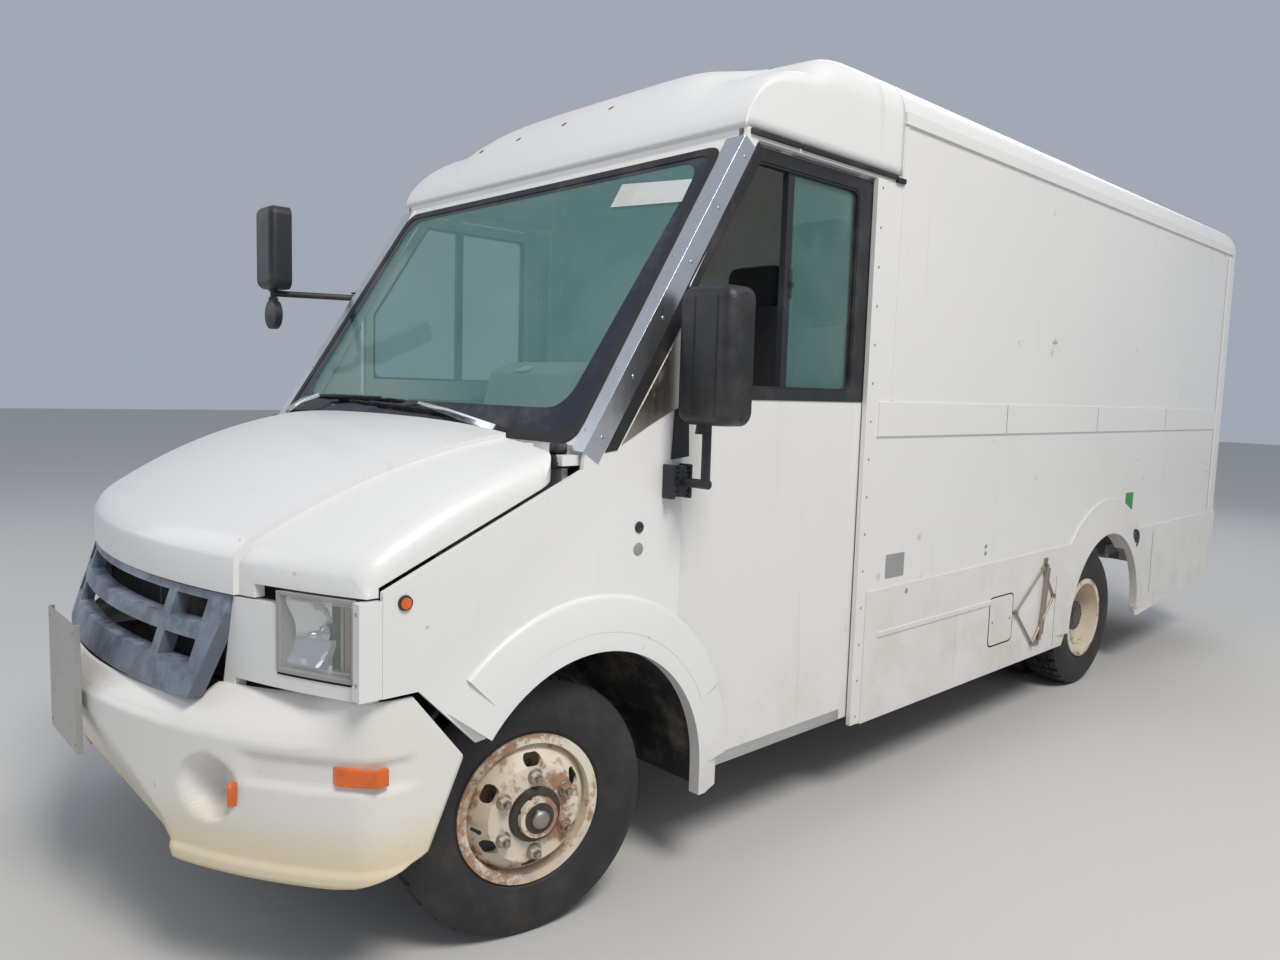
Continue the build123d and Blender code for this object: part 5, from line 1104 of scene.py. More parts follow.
# %% [markdown]
# Only the driver's side shows a filler, two blank labels, an access panel and a scissor bracket
# on the skirt. They are set where the photograph has them.

# %% Driver's side details
for name, y0, y1, z0, z1, radius, thick, finish in (
        ("grey_tag", 1.629, 1.766, 0.879, 0.976, 0.006, 0.0012, grey_label),
        ("green_tag", 4.162, 4.279, 0.986, 1.088, 0.005, 0.0010, green_label)):
    outline = corner_radius([(y0, z0), (y0, z1), (y1, z1), (y1, z0)], radius)
    side_plate(name, outline, 1, body_side, thick, finish, edge=0.0004)
bm = bmesh.new()
filler = at_side(4.334, 0.808, body_side + 0.008)
cap_turn = [(0.0, 0.012), (0.026, 0.012), (0.030, 0.008), (0.040, 0.008), (0.043, 0.012), (0.052, 0.012),
            (0.056, 0.006), (0.057, 0.0)]
lathe(bm, cap_turn, filler, (1, 0, 0), 40)
block_at(bm, filler, (0.011, -0.022, -0.005), (0.020, 0.022, 0.005), 0.002)
piece("fuel_filler", bm, black_plastic)
access = corner_radius([(2.526, 0.443), (2.526, 0.683), (2.771, 0.683), (2.771, 0.443)], 0.035)
bm = bmesh.new()
small = corner_radius([(2.532, 0.449), (2.532, 0.677), (2.765, 0.677), (2.765, 0.449)], 0.030)
ring(bm, side_points(access, 1, body_side + 0.009), side_points(small, 1, body_side + 0.009), (0.0016, 0, 0))
piece("access_gap", bm, shadow_gap)
inside = corner_radius([(2.534, 0.451), (2.534, 0.675), (2.763, 0.675), (2.763, 0.451)], 0.029)
side_plate("access_panel", inside, 1, body_side + 0.009, 0.0035, skirt_white)
bm = bmesh.new()
for y, z in ((2.56, 0.56), (2.735, 0.56)):
    dome(bm, at_side(y, z, body_side + 0.0124), (1, 0, 0), 0.007)
corners = [(3.068, 0.765), (2.786, 0.579), (2.991, 0.390), (3.212, 0.607)]
rods = [at_side(y, z, body_side + 0.019) for y, z in corners]
for first, last in zip(rods, rods[1:] + rods[:1]):
    bar(bm, first, last, 0.0055, steps=8)
for spot in rods:
    bar(bm, spot - Vector((0.012, 0, 0)), spot + Vector((0.008, 0, 0)), 0.013, steps=12)
bar(bm, at_side(3.105, 0.785, body_side + 0.024), at_side(3.060, 0.400, body_side + 0.024), 0.008, steps=10)
bar(bm, at_side(3.150, 0.760, body_side + 0.015), at_side(3.110, 0.420, body_side + 0.015), 0.006, steps=8)
for y, z in ((3.105, 0.785), (3.060, 0.400)):
    block_at(bm, at_side(y, z), (0.006, -0.022, -0.03), (0.016, 0.022, 0.03), 0.003)
piece("scissor_bracket", bm, rusty_nut)
for i, (y, z) in enumerate(((1.78, 0.815), (2.47, 0.900), (2.47, 0.932))):
    bm = bmesh.new()
    proud = 0.010 if z < 0.84 else 0.0
    lathe(bm, [(0.0, 0.004), (0.009, 0.003), (0.011, 0.0)], at_side(y, z, body_side + proud), (1, 0, 0), 16)
    piece(f"wall_plug_{i}", bm, grey_label)
print("sides done")

# %% [markdown]
# The nose is part of an upright drum: seen from above, the panel, the grille and the lamps share
# one circle. A helper gives points on that circle, and another lays a strip along it.

# %% Points and strips on the nose's curve
nose_radius = 2.242
nose_axis = front_axle + 1.392


def on_nose(x, z, proud=0.0):
    return Vector((x, nose_axis - math.sqrt((nose_radius + proud) ** 2 - x * x), z))


def nose_strip(bm, x0, x1, z0, z1, proud, thick, steps=10):
    """A strip that follows the nose from x0 to x1, thick towards the inside."""
    outer, inner = ([[bm.verts.new(on_nose(x0 + (x1 - x0) * i / steps, z, out)) for i in range(steps + 1)]
                     for z in (z0, z1)] for out in (proud, proud - thick))
    for i in range(steps):
        j = i + 1
        bm.faces.new((outer[0][i], outer[0][j], outer[1][j], outer[1][i]))
        bm.faces.new((inner[0][j], inner[0][i], inner[1][i], inner[1][j]))
        bm.faces.new((outer[1][i], outer[1][j], inner[1][j], inner[1][i]))
        bm.faces.new((outer[0][j], outer[0][i], inner[0][i], inner[0][j]))
    for i in (0, steps):
        bm.faces.new((outer[0][i], outer[1][i], inner[1][i], inner[0][i]))


# %% [markdown]
# Each headlamp is a clear curved cover over a faceted bright bowl, with the turn lamp's ribbed
# beige chamber beside it and a black gap on the outer side.

# %% Headlamps
# Each strip: x from, x to, z from, z to, how proud, how thick, steps
lamp_strips = (
    ("lamp_cover", lamp_cover, [(0.803, 1.022, 0.884, 1.078, 0.003, 0.0025, 14)]),
    ("lamp_rim", lamp_housing, [(0.803, 1.022, 0.876, 0.888, 0.0045, 0.060, 14),
                                (0.803, 1.022, 1.072, 1.082, 0.0045, 0.060, 14),
                                (0.799, 0.811, 0.878, 1.082, 0.0045, 0.060, 2)]),
    ("lamp_side", turn_chamber, [(1.0125, 1.022, 0.884, 1.078, 0.0040, 0.050, 2)]),
    ("lamp_gap", shadow_gap, [(1.0225, 1.0315, 0.876, 1.084, 0.001, 0.055, 2),
                              (0.800, 1.030, 0.870, 0.877, 0.002, 0.055, 10)]),
)
# Each bulb: x, z, depth behind the nose, section, steps, material, slot
bulbs = (
    ("lamp_bulb", 0.873, 0.975, -0.058, [(0.020, 0.0), (0.019, 0.012), (0.010, 0.016), (0.010, 0.040),
                                         (0.006, 0.046), (0.0, 0.048)], 24, mirror_glass, "lamp_lens"),
    ("turn_bulb", 0.985, 0.978, -0.052, [(0.011, 0.0), (0.011, 0.018), (0.007, 0.026), (0.0, 0.028)], 20,
     amber_lens, "amber_lens"),
)
for side, sign in both_sides:
    for name, finish, strips in lamp_strips:
        bm = bmesh.new()
        for x0, x1, *rest in strips:
            nose_strip(bm, *sorted((sign * x0, sign * x1)), *rest)
        made = piece(f"{name}_{side}", bm, finish)
        if name == "lamp_rim":
            soften(made, 0.0015)
            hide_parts("headlights")
    # The bowl: a grid pulled into a paraboloid, with flat facets
    bm = bmesh.new()
    columns, lines = 11, 9
    centre_x, centre_z = 0.873, 0.975
    grid = []
    for j in range(lines + 1):
        z = 0.888 + (1.074 - 0.888) * j / lines
        line = []
        for i in range(columns + 1):
            x = 0.812 + (0.947 - 0.812) * i / columns
            rise = min(1.0, ((x - centre_x) / 0.082) ** 2 + ((z - centre_z) / 0.105) ** 2)
            line.append(bm.verts.new(on_nose(sign * x, z, -0.064 + 0.054 * rise)))
        grid.append(line)
    for j in range(lines):
        for i in range(columns):
            bm.faces.new((grid[j][i], grid[j][i + 1], grid[j + 1][i + 1], grid[j + 1][i]))
    bmesh.ops.inset_individual(bm, faces=bm.faces, thickness=0.0012)
    piece(f"lamp_bowl_{side}", bm, reflector, crease=8.0)
    # The turn lamp's chamber with its upright flutes, and serrated edges along top and bottom
    bm = bmesh.new()
    for k in range(12):
        x = sign * (0.951 + k * 0.0053)
        base = on_nose(x, 0.890, -0.030 - 0.006 * math.sin(k * 0.9))
        bar(bm, base, base + Vector((0, 0, 0.182)), 0.0038, steps=10)
    piece(f"turn_chamber_{side}", bm, turn_chamber)
    bm = bmesh.new()
    for k in range(36):
        x = sign * (0.815 + k * 0.0056)
        for z0, z1 in ((0.889, 0.899), (1.060, 1.071)):
            block_at(bm, on_nose(x - 0.0016, z0, -0.010), (0, 0, 0), (0.0032, 0.006, z1 - z0))
    piece(f"lamp_teeth_{side}", bm, reflector)
    for name, x, z, depth, profile, steps, finish, slot in bulbs:
        bm = bmesh.new()
        lathe(bm, profile, on_nose(sign * x, z, depth), (0, -1, 0), steps)
        piece(f"{name}_{side}", bm, finish)

    # Screws in the white strip beside the lamp
    bm = bmesh.new()
    for z in (1.056, 0.884):
        place, normal = touch("nose_panel", (sign * 1.046, front_axle - 1.5, z), (0, 1, 0))
        dome(bm, place, normal, 0.0065)
    piece(f"nose_screws_{side}", bm, plated_steel, merge=False)
    # A dark ring round the fender's small lamp
    bm = bmesh.new()
    place, normal = touch("fenders", (sign * 1.4, front_axle - 0.499, 1.100), (-sign, 0, 0))
    place.z = 1.072
    lathe(bm, [(0.015, 0.0085), (0.018, 0.007), (0.0195, 0.0), (0.015, 0.0)], place, normal, 28)
    piece(f"fender_lamp_ring_{side}", bm, black_rubber)
    # Fog wells: an amber sliver on the outer wall of the well
    bm = bmesh.new()
    start = Vector((sign * 0.7465, front_axle - 0.795, 0.565))
    block_at(bm, start, (-0.005, -0.016, -0.032), (0.005, 0.018, 0.032), 0.003)
    piece(f"well_marker_{side}", bm, amber_lens)

# %% [markdown]
# Behind the grille's six cells there is a dark core of fine fins with two tanks, as a radiator
# has. The plate holder gets its screws.

# %% Radiator core and the holder's screws
bm = bmesh.new()
for k in range(44):
    z = 0.795 + k * 0.0055
    block(bm, (-0.560, front_axle - 0.738, z), (0.560, front_axle - 0.716, z + 0.0022))
for x in (-0.560, 0.0, 0.550):
    block(bm, (x - 0.010, front_axle - 0.742, 0.780), (x + 0.010, front_axle - 0.712, 1.040), 0.003)
piece("radiator_core", bm, radiator_dark)
# A black sheet behind the fins: painted shade that shows between them
bm = bmesh.new()
block(bm, (-0.555, front_axle - 0.7155, 0.785), (0.555, front_axle - 0.700, 1.038), 0.004)
piece("radiator_back", bm, shadow_gap)
bm = bmesh.new()
for x in (-0.140, 0.140):
    for z in (0.560, 0.880):
        place, normal = touch("plate_holder", (x, front_axle - 1.3, z), (0, 1, 0))
        dome(bm, place, normal, 0.006)
piece("holder_screws", bm, rusty_nut, merge=False)

# %% [markdown]
# Mirrors: a bright glass set into the face towards the driver, a lower wide-angle glass, ribs
# down the shell's front, and the arm's bracket with its bolts and clamp plates.

# %% Mirrors
bm = bmesh.new()
head_x, head_y = 1.2225, front_axle + 0.400
for z in ((1.625, 1.885), (1.525, 1.612)):
    plate(bm, upright((head_x - 0.088, head_x + 0.088), z, head_y + 0.0505, 0.028), (0, 0.003, 0))
piece("mirror_glass_left", bm, mirror_glass)
bm = bmesh.new()
for z0, z1 in ((1.620, 1.890), (1.520, 1.617)):
    outer = upright((head_x - 0.094, head_x + 0.094), (z0, z1), head_y + 0.050, 0.032)
    inner = upright((head_x - 0.087, head_x + 0.087), (z0 + 0.006, z1 - 0.006), head_y + 0.050, 0.027)
    ring(bm, outer, inner, (0, 0.005, 0))
piece("mirror_bezel_left", bm, black_rubber)
bm = bmesh.new()
for x in (-0.104, 0.100):
    block(bm, (head_x + x, head_y - 0.010, 1.54), (head_x + x + 0.004, head_y + 0.040, 1.87), 0.0018)
block(bm, (head_x - 0.1055, head_y + 0.012, 1.525), (head_x + 0.1055, head_y + 0.018, 1.885), 0.002)
for x in (-0.036, 0.052):
    block(bm, (head_x + x, head_y - 0.0525, 1.535), (head_x + x + 0.004, head_y - 0.040, 1.875), 0.0018)
piece("mirror_seams_left", bm, black_rubber)
# Bracket: two clamp plates, ribs and bolts on the fender's side
bm = bmesh.new()
spot = Vector((body_side, front_axle + 0.405, 1.330))
for y in (-0.043, 0.028):
    block_at(bm, spot, (0.0, y, -0.052), (0.048, y + 0.012, 0.052), 0.003)
for z in (-0.038, -0.004, 0.030):
    block_at(bm, spot, (0.036, -0.036, z), (0.046, 0.036, z + 0.007), 0.002)
for y in (-0.020, 0.020):
    for z in (-0.022, 0.020):
        dome(bm, spot + Vector((0.040, y, z)), (1, 0, 0), 0.009, 0.7)
bar(bm, spot + Vector((0.035, 0, -0.045)), spot + Vector((0.035, 0, 0.048)), 0.017, steps=18)
bar(bm, (1.1875, head_y + 0.004, 1.478), (1.1875, head_y + 0.004, 1.512), 0.024, 0.020, 20)
piece("mirror_bracket_left", bm, black_plastic)
bm = bmesh.new()
plate(bm, [Vector((body_side + 0.001, front_axle + y, z)) for y, z in
           ((0.395, 1.395), (0.470, 1.402), (0.462, 1.560), (0.405, 1.545))], (0.006, 0, 0))
made = piece("mirror_flap", bm, black_rubber)
soften(made, 0.0015)
# Right side: glass on the high head and on the round one below it
right_x, right_y = -1.240, front_axle + 0.110
bm = bmesh.new()
plate(bm, upright((right_x - 0.072, right_x + 0.072), (2.035, 2.350), right_y + 0.0505, 0.030), (0, 0.003, 0))
round_head = (right_x, right_y, 1.895)
lathe(bm, [(0.0, 0.022), (0.025, 0.0215), (0.045, 0.019), (0.057, 0.0155)], round_head, (0, 1, 0), 36)
piece("mirror_glass_right", bm, mirror_glass)
bm = bmesh.new()
lathe(bm, [(0.057, 0.0155), (0.064, 0.017), (0.0655, 0.012), (0.0655, -0.014), (0.055, -0.018), (0.020, -0.028),
           (0.0, -0.029)], round_head, (0, 1, 0), 36)
for z in (2.012, 1.960):
    bar(bm, (right_x, right_y, z - 0.012), (right_x, right_y, z + 0.012), 0.021, steps=18)
pivot = Vector((-body_side, front_axle + 0.448, 1.985))
for z in (-0.030, 0.022):
    block_at(bm, pivot, (-0.034, -0.030, z), (0.0, 0.026, z + 0.008), 0.002)
bar(bm, pivot + Vector((-0.020, 0.002, -0.040)), pivot + Vector((-0.020, 0.002, 0.040)), 0.013, steps=16)
piece("mirror_details_right", bm, black_plastic)
print("front done")

# %% [markdown]
# The windscreen lies in one tilted plane. Points on it are given as (across, up the glass). Its
# printed black border is wide at the foot and narrow at the head, and a rubber gasket holds the
# pane. A blank white label sits behind the glass at the top corner on the driver's side.

# %% Windscreen border, gasket and label
screen_foot = Vector((0, front_axle + 0.060, 1.440))
screen_up = (Vector((0, front_axle + 0.690, 2.420)) - screen_foot).normalized()
screen_out = Vector((0, -screen_up.z, screen_up.y))


def on_screen(x, up, proud=0.0):
    return screen_foot + Vector((x, 0, 0)) + screen_up * up + screen_out * proud


def screen_ring(name, outer, inner, proud, thick, material, radii):
    bm = bmesh.new()
    pairs = [rounded([on_screen(x, up, proud) for x, up in side], r, 8) for side, r in zip((outer, inner), radii)]
    ring(bm, *pairs, screen_out * thick)
    return piece(name, bm, material)


glass_edge = [(-0.992, 0.026), (0.992, 0.026), (0.972, 1.108), (-0.972, 1.108)]
border_edge = [(-0.905, 0.118), (0.880, 0.118), (0.925, 1.078), (-0.925, 1.078)]
screen_ring("screen_border", glass_edge, border_edge, 0.0006, 0.0008, screen_print, (0.068, 0.10))
outer_lip = [(-1.012, 0.002), (1.012, 0.002), (0.992, 1.128), (-0.992, 1.128)]
inner_lip = [(-0.980, 0.038), (0.980, 0.038), (0.960, 1.096), (-0.960, 1.096)]
made = screen_ring("screen_gasket", outer_lip, inner_lip, 0.0004, 0.0045, black_rubber, (0.075, 0.065))
soften(made, 0.0015)
bm = bmesh.new()
plate(bm, [on_screen(x, up, 0.0008) for x, up in ((0.560, 0.938), (0.925, 0.905), (0.918, 1.000), (0.555, 1.043))],
      screen_out * 0.0006)
piece("blank_screen_label", bm, blank_label)

# %% [markdown]
# Two wipers park along the foot of the glass. Their arms start at the outer ends and their
# blades meet near the middle: a bright tapered arm with a knuckle, a bridge and a rubber blade.

# %% Wipers


def wiper(bright, dark, pivot, elbow, blade):
    foot = on_screen(pivot[0], pivot[1], 0.010)
    joint = on_screen(elbow[0], elbow[1], 0.030)
    bar(dark, foot - screen_out * 0.014, foot + screen_out * 0.020, 0.017, 0.014, 20)
    direction = (joint - foot).normalized()
    side = direction.cross(screen_out).normalized()
    corners = [(foot + screen_out * 0.014, 0.015), (foot.lerp(joint, 0.55) + screen_out * 0.020, 0.011),
               (joint, 0.006)]
    for (a, wide_a), (b, wide_b) in zip(corners, corners[1:]):
        shape = ((-1, 0), (1, 0), (0.8, 0.010), (-0.8, 0.010))
        bridge(bright, [[bright.verts.new(p + side * w * s + screen_out * h) for s, h in shape]
                        for p, w in ((a, wide_a), (b, wide_b))])
    first, last = (on_screen(x, up, 0.006) for x, up in blade)
    bar(dark, first, last, 0.0045, steps=8)
    for k in range(5):
        a, b = (first.lerp(last, t) for t in (0.04 + k * 0.19, 0.04 + (k + 0.8) * 0.19))
        rise = 0.014 if k in (1, 2, 3) else 0.009
        bar(dark, a + screen_out * 0.004, a.lerp(b, 0.5) + screen_out * rise, 0.0032, steps=8)
        bar(dark, a.lerp(b, 0.5) + screen_out * rise, b + screen_out * 0.004, 0.0032, steps=8)
    spine = [first.lerp(last, t) + screen_out * 0.015 for t in (0.22, 0.80)]
    bar(dark, *spine, 0.0042, steps=8)
    bar(dark, first.lerp(last, 0.51) + screen_out * 0.013, joint, 0.0055, steps=8)


bright, dark = bmesh.new(), bmesh.new()
wiper(bright, dark, (0.640, 0.016), (0.120, 0.088), ((-0.470, 0.098), (0.440, 0.064)))
wiper(bright, dark, (-0.930, 0.020), (-0.700, 0.100), ((-0.790, 0.110), (-0.060, 0.112)))
piece("wiper_arms", bright, stainless)
made = piece("wiper_blades", dark, black_rubber)
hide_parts("wipers")

# %% [markdown]
# Between the hood and the glass lie the cowl's louvres, and in the gap at the driver's corner
# the hood's hinge bracket and wiring show.

# %% Cowl slots and hinge corner
bm = bmesh.new()
for k in range(22):
    x = -0.66 + k * 0.042
    place, normal = touch("cowl", (x, front_axle + 0.020, 1.9), (0, 0, -1))
    block_at(bm, place, (-0.012, -0.020, -0.002), (0.012, 0.020, 0.0015), 0.0015)
piece("cowl_slots", bm, shadow_gap)
for side, sign in both_sides:
    bm = bmesh.new()
    base = Vector((sign * 0.985, front_axle + 0.035, 1.385))
    block_at(bm, base, (-0.045, -0.050, -0.010), (0.030, 0.020, 0.030), 0.006)
    block_at(bm, base, (-0.020, -0.030, 0.030), (0.015, 0.012, 0.062), 0.005)
    bar(bm, base + Vector((-0.03, -0.06, -0.02)), base + Vector((0.03, -0.02, 0.02)), 0.008, steps=10)
    bar(bm, base + Vector((-0.055, -0.02, 0.0)), base + Vector((0.035, -0.045, 0.006)), 0.006, steps=10)
    piece(f"hinge_corner_{side}", bm, black_plastic)

# %% [markdown]
# Glass in the doors sits in rubber. The rear panes get a gasket ring, and the bulkhead's window
# has a thick dark one.

# %% Gaskets
for side, sign in both_sides:
    low, high = box_of(f"rear_glass_{side}")
    y = high.y + 0.001
    bm = bmesh.new()
    lips = [upright((low.x, high.x), (low.z, high.z), y, r, 6, grow) for r, grow in ((0.05, 0.012), (0.04, -0.014))]
    ring(bm, *lips, (0, 0.010, 0))
    made = piece(f"rear_gasket_{side}", bm, black_rubber, body=f"{side}_rear_door")
    soften(made, 0.002)
bm = bmesh.new()
front_y = front_axle + 1.6125
for y0, push in ((front_y, -0.012), (front_y + 0.030, 0.012)):
    lips = [upright((0.520, 0.820), (1.885, 2.315), y0, r, 6, grow) for r, grow in ((0.065, 0.0), (0.045, -0.025))]
    ring(bm, *lips, (0, push, 0))
piece("bulkhead_gasket", bm, black_rubber)
print("glass done")

# %% [markdown]
# Through the glass the eye finds the dash, the wheel and the seat. The dash gets its vents,
# gauges, switches and a tray; a small blank sticker sits on the instrument hump.

# %% Dash
dash_y = front_axle + 0.135
bm = bmesh.new()
for x in (-0.86, -0.45, 0.17, 0.83):
    block(bm, (x - 0.055, dash_y + 0.296, 1.400), (x + 0.055, dash_y + 0.304, 1.462), 0.004)
    for k in range(5):
        z = 1.407 + k * 0.011
        block(bm, (x - 0.048, dash_y + 0.303, z), (x + 0.048, dash_y + 0.309, z + 0.004), 0.001)
block(bm, (-0.10, dash_y + 0.296, 1.215), (0.16, dash_y + 0.306, 1.385), 0.006)
for k in range(4):
    block(bm, (-0.080 + k * 0.056, dash_y + 0.305, 1.330), (-0.040 + k * 0.056, dash_y + 0.311, 1.362), 0.003)
for x in (-0.050, 0.030, 0.110):
    bar(bm, (x, dash_y + 0.300, 1.255), (x, dash_y + 0.320, 1.255), 0.020, 0.017, 20)
piece("dash_controls", bm, black_plastic)
bm = bmesh.new()
for x, r in ((0.375, 0.052), (0.500, 0.052), (0.595, 0.030)):
    spot = Vector((x, dash_y + 0.326, 1.590))
    lathe(bm, [(r, 0.0), (r, 0.006), (r - 0.004, 0.008), (r - 0.006, 0.003), (0.0, 0.002)], spot, (0, 1, 0.25), 28)
block(bm, (0.285, dash_y + 0.318, 1.525), (0.675, dash_y + 0.329, 1.655), 0.008)
piece("gauge_cluster", bm, shadow_gap)
bm = bmesh.new()
plate(bm, [(0.402, dash_y + 0.148, 1.653), (0.470, dash_y + 0.148, 1.653), (0.470, dash_y + 0.190, 1.673),
           (0.402, dash_y + 0.190, 1.673)], (0, -0.0005, 0.0012))
piece("dash_sticker", bm, blank_label)
# Loose tray, pad and visor on the dash's top
bm = bmesh.new()
block(bm, (0.02, dash_y + 0.085, 1.523), (0.20, dash_y + 0.185, 1.545), 0.008)
block(bm, (0.05, dash_y + 0.20, 1.527), (0.17, dash_y + 0.25, 1.565), 0.010)
block(bm, (-0.40, dash_y + 0.19, 1.526), (-0.02, dash_y + 0.205, 1.540), 0.004)
piece("dash_tray", bm, cover_trim)

# %% [markdown]
# The steering wheel gets a horn pad and a column shroud with stalks.

# %% Steering wheel and column
centre = Vector((0.480, dash_y + 0.555, 1.400))
tilt = math.radians(32.0)
normal = Vector((0, math.cos(tilt), math.sin(tilt)))
bm = bmesh.new()
lathe(bm, [(0.0, 0.024), (0.036, 0.023), (0.052, 0.018), (0.060, 0.004), (0.058, -0.010)], centre, normal, 36)
bar(bm, centre - normal * 0.030, centre - normal * 0.240, 0.046, 0.058, 24)
for s in (1, -1):
    tip = centre - normal * 0.055 + Vector((0.150 * s, 0, 0.02))
    bar(bm, centre - normal * 0.060, tip, 0.007, 0.009, 12)
piece("column_shroud", bm, black_plastic)

# %% [markdown]
# The driver's seat is two cushions and a head rest in black cloth, with piping and bolsters. A
# rounded, puffed block is pressed in at rows of seams, so it reads as filled cloth.

# %% Seat cushions


def cushion(name, centre, size, turn, seams, puff=0.35):
    """A padded block: a divided box, rounded, swollen between its seams and creased at them."""
    bm = bmesh.new()
    bmesh.ops.create_cube(bm, size=1.0)
    bmesh.ops.subdivide_edges(bm, edges=bm.edges, cuts=15, use_grid_fill=True)
    spin = Matrix.Rotation(math.radians(turn), 4, "X")
    half = Vector(size) / 2
    for vert in bm.verts:
        p = vert.co * 2
        edge = max(abs(p.x), abs(p.y), abs(p.z))
        length = (abs(p.x) ** 7 + abs(p.y) ** 7 + abs(p.z) ** 7) ** (1 / 7)
        out = p * (edge / length)
        swell = (1 - out.x ** 4) * (1 - out.y ** 4) if abs(p.z) > 0.98 else 0.0
        out.z *= 1 + puff * 0.22 * swell
        for at, wide, deep in seams:
            near = math.exp(-((out.x - at) / wide) ** 2)
            out.z *= 1 - deep * near * (1 if abs(p.z) > 0.9 else 0.3)
        wrinkle = 0.008 * math.sin(13 * out.x + 5 * out.y) * math.sin(9 * out.y - 4 * out.x)
        out.z *= 1 + wrinkle * (abs(p.z) > 0.9)
        vert.co = Vector(centre) + spin @ Vector((out.x * half.x, out.y * half.y, out.z * half.z))
    made = piece(name, bm, seat_cloth, crease=60.0)
    smooth = made.modifiers.new("smooth", "SUBSURF")
    smooth.levels = 1
    smooth.render_levels = 1
    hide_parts("driver_seat")


seat_x, seat_y = 0.480, front_axle + 0.860
sides_in = [(-0.62, 0.05, 0.16), (0.62, 0.05, 0.16)]
cushion("seat_cushion", (seat_x, seat_y + 0.250, 1.293), (0.492, 0.505, 0.124), 0, sides_in)
cushion("seat_back", (seat_x, seat_y + 0.532, 1.625), (0.472, 0.670, 0.112), 80.5, sides_in)
cushion("head_rest", (seat_x, seat_y + 0.606, 2.038), (0.282, 0.180, 0.086), 82.0, [])
bm = bmesh.new()
for x in (seat_x - 0.06, seat_x + 0.06):
    bar(bm, (x, seat_y + 0.588, 1.93), (x, seat_y + 0.600, 1.99), 0.007, steps=12)
for s in (-1, 1):
    x = seat_x + s * 0.200
    block(bm, (x - 0.012, seat_y + 0.06, 1.200), (x + 0.012, seat_y + 0.46, 1.232), 0.004)
piece("seat_runners", bm, frame_black)

# %% [markdown]
# The load space shows ribs of folded sheet on its roof, as such bodies have, and the cab's step
# has a bright tread edge.

# %% Ribs inside
bm = bmesh.new()
for k in range(9):
    y = front_axle + 1.95 + k * 0.46
    block(bm, (-0.99, y - 0.018, 2.735), (0.99, y + 0.018, 2.765), 0.004)
piece("roof_ribs", bm, sheet_aluminium)
bm = bmesh.new()
for side, sign in both_sides:
    place = Vector((sign * 0.860, front_axle + 0.612, 0.4425))
    block_at(bm, place, (-0.15, 0.0, 0.0), (0.15, 0.012, 0.006), 0.002)
piece("step_edges", bm, sheet_aluminium)
print("inside done")

# %% [markdown]
# The back follows the usual pattern of such bodies: two swing doors with a paddle latch on the
# right one, rods up and down, grab handles and tail lamps in rubber rings. None of
# it shows in the photograph, so it stays plain.

# %% Rear latch, handles and lamps
door_back = box_of("rear_door_left")[1].y
bm = bmesh.new()
latch_x = -0.115
latch = Vector((latch_x, door_back, 1.420))
block_at(bm, latch, (-0.060, -0.001, -0.085), (0.060, 0.006, 0.085), 0.006)
block_at(bm, latch, (-0.022, 0.005, -0.060), (0.022, 0.030, 0.045), 0.008)
bar(bm, latch + Vector((0, 0.004, 0.060)), latch + Vector((0, 0.014, 0.060)), 0.014, steps=20)
for z0, z1 in ((0.860, 1.335), (1.505, 2.535)):
    bar(bm, (latch_x, door_back + 0.010, z0), (latch_x, door_back + 0.010, z1), 0.007, steps=12)
for z in (0.90, 1.20, 1.60, 2.10, 2.48):
    block(bm, (latch_x - 0.022, door_back - 0.001, z - 0.014), (latch_x + 0.022, door_back + 0.019, z + 0.014), 0.003)
piece("rear_latch", bm, plated_steel, body="right_rear_door")
lens_turn = [(0.0, 0.014), (0.030, 0.013), (0.048, 0.008), (0.052, 0.0005)]
ring_turn = [(0.051, 0.004), (0.053, 0.011), (0.060, 0.010), (0.064, 0.002), (0.064, 0.0), (0.051, 0.004)]
for side, sign in both_sides:
    grip = bmesh.new()
    x = sign * 0.700
    for z in (1.18, 1.52):
        bar(grip, (x, door_back - 0.001, z), (x, door_back + 0.045, z), 0.009, steps=14)
        bar(grip, (x, door_back - 0.001, z), (x, door_back + 0.005, z), 0.022, 0.018, 20)
    bar(grip, (x, door_back + 0.040, 1.165), (x, door_back + 0.040, 1.535), 0.011, steps=16)
    piece(f"rear_grip_{side}", grip, black_plastic, body=f"{side}_rear_door")
    for name, profile, finish, slot in (("tail_lens", lens_turn, red_lens, "amber_lens"),
                                        ("tail_ring", ring_turn, black_rubber, "black_plastic")):
        bm = bmesh.new()
        for lamp_x in (0.900, 0.780):
            lathe(bm, profile, (sign * lamp_x, rear_face, 0.600), (0, 1, 0), 36)
        piece(f"{name}_{side}", bm, finish)
bm = bmesh.new()
for k in range(9):
    for z in (2.610, 0.735):
        dome(bm, (-0.80 + 0.20 * k, rear_face, z), (0, 1, 0), 0.005)
piece("portal_rivets", bm, plated_steel, merge=False)

# %% [markdown]
# Below, the springs get U-bolts and dampers. Each sits on the solids that carry it.

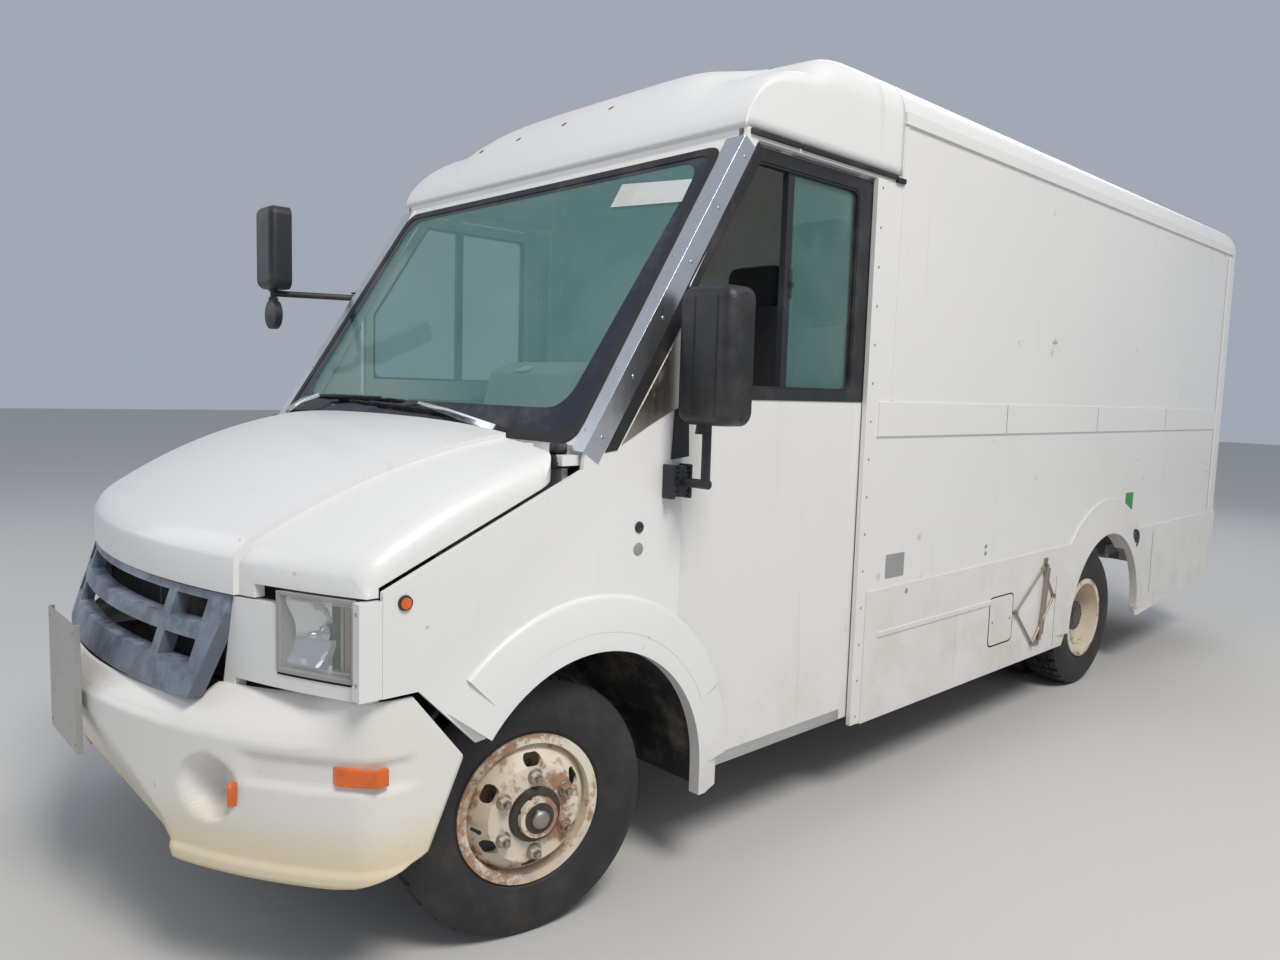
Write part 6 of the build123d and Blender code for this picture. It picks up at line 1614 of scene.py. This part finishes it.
# %% Running gear details
bm = bmesh.new()
for sign in (1, -1):
    for y, z_top, z_low in ((front_axle, 0.452, 0.300), (rear_axle, 0.505, 0.320)):
        x = sign * 0.430
        for dx in (-0.040, 0.040):
            for dy in (-0.055, 0.055):
                bar(bm, (x + dx, y + dy, z_low), (x + dx, y + dy, z_top), 0.008, steps=10)
                bar(bm, (x + dx, y + dy, z_low - 0.004), (x + dx, y + dy, z_low + 0.012), 0.013, steps=6)
        block(bm, (x - 0.058, y - 0.075, z_low + 0.010), (x + 0.058, y + 0.075, z_low + 0.022), 0.003)
piece("spring_bolts", bm, rusty_nut)
bm = bmesh.new()
for sign in (1, -1):
    for y, reach in ((front_axle, 0.30), (rear_axle, -0.34)):
        foot = Vector((sign * 0.340, y + 0.06 * (1 if reach > 0 else -1), 0.345))
        head = Vector((sign * 0.372, y + reach, 0.655))
        middle = foot.lerp(head, 0.52)
        bar(bm, foot, middle, 0.028, steps=20)
        bar(bm, middle, foot.lerp(head, 0.55), 0.032, steps=20)
        bar(bm, middle, head, 0.013, steps=16)
        for spot in (foot, head):
            bar(bm, spot - Vector((0.026, 0, 0)), spot + Vector((0.026, 0, 0)), 0.024, steps=18)
piece("dampers", bm, frame_black)
print("rear done")

# %% [markdown]
# The photograph was taken from the driver's front corner at about head height. The camera's
# place, turn and lens were worked out from the van's own edges. The studio is plain: a pale
# floor, one large soft key lamp from the right and the front, a weaker fill, and a pale world.

# %% Camera
camera = bpy.data.cameras.new("view")
camera.lens = 26.26
camera.sensor_width = 36.0
camera.clip_end = 200.0
eye = bpy.data.objects.new("view", camera)
place = Matrix.Translation((3.0653, -4.1332, 1.6027))
for degrees, turn_axis in ((46.71, "Z"), (90 - 5.52, "X"), (1.71, "Z")):
    place = place @ Matrix.Rotation(math.radians(degrees), 4, turn_axis)
eye.matrix_world = place
bpy.context.scene.collection.objects.link(eye)
bpy.context.scene.camera = eye

# %% Floor, lamps and world
bm = bmesh.new()
bmesh.ops.create_grid(bm, x_segments=1, y_segments=1, size=45.0)
ground = bpy.data.meshes.new("floor")
bm.to_mesh(ground)
bm.free()
plain = bpy.data.materials.new("floor")
plain.use_nodes = True
paint = plain.node_tree.nodes["Principled BSDF"].inputs
paint["Base Color"].default_value = (0.60, 0.585, 0.56, 1)
paint["Roughness"].default_value = 0.9
ground.materials.append(plain)
floor = bpy.data.objects.new("floor", ground)
bpy.context.scene.collection.objects.link(floor)


def lamp(name, place, target, size, power, colour):
    light = bpy.data.lights.new(name, "AREA")
    light.size = size
    light.energy = power
    light.color = colour
    holder = bpy.data.objects.new(name, light)
    holder.location = place
    holder.rotation_euler = (Vector(target) - Vector(place)).to_track_quat("-Z", "Y").to_euler()
    bpy.context.scene.collection.objects.link(holder)


lamp("key", (7.0, -3.5, 9.5), (0, -0.5, 1.0), 3.5, 860, (1.0, 0.97, 0.92))
lamp("fill", (-7.0, -9.0, 5.0), (0, -1.0, 1.2), 6.0, 190, (0.90, 0.95, 1.0))
lamp("back", (-3.0, 9.0, 7.0), (0, 1.0, 1.5), 6.0, 170, (0.95, 0.97, 1.0))
world = bpy.data.worlds.new("studio")
world.use_nodes = True
colour, strength = world.node_tree.nodes["Background"].inputs[:2]
colour.default_value = (0.78, 0.86, 1.0, 1)
strength.default_value = 0.46
bpy.context.scene.world = world
bpy.context.scene.view_settings.view_transform = "Standard"
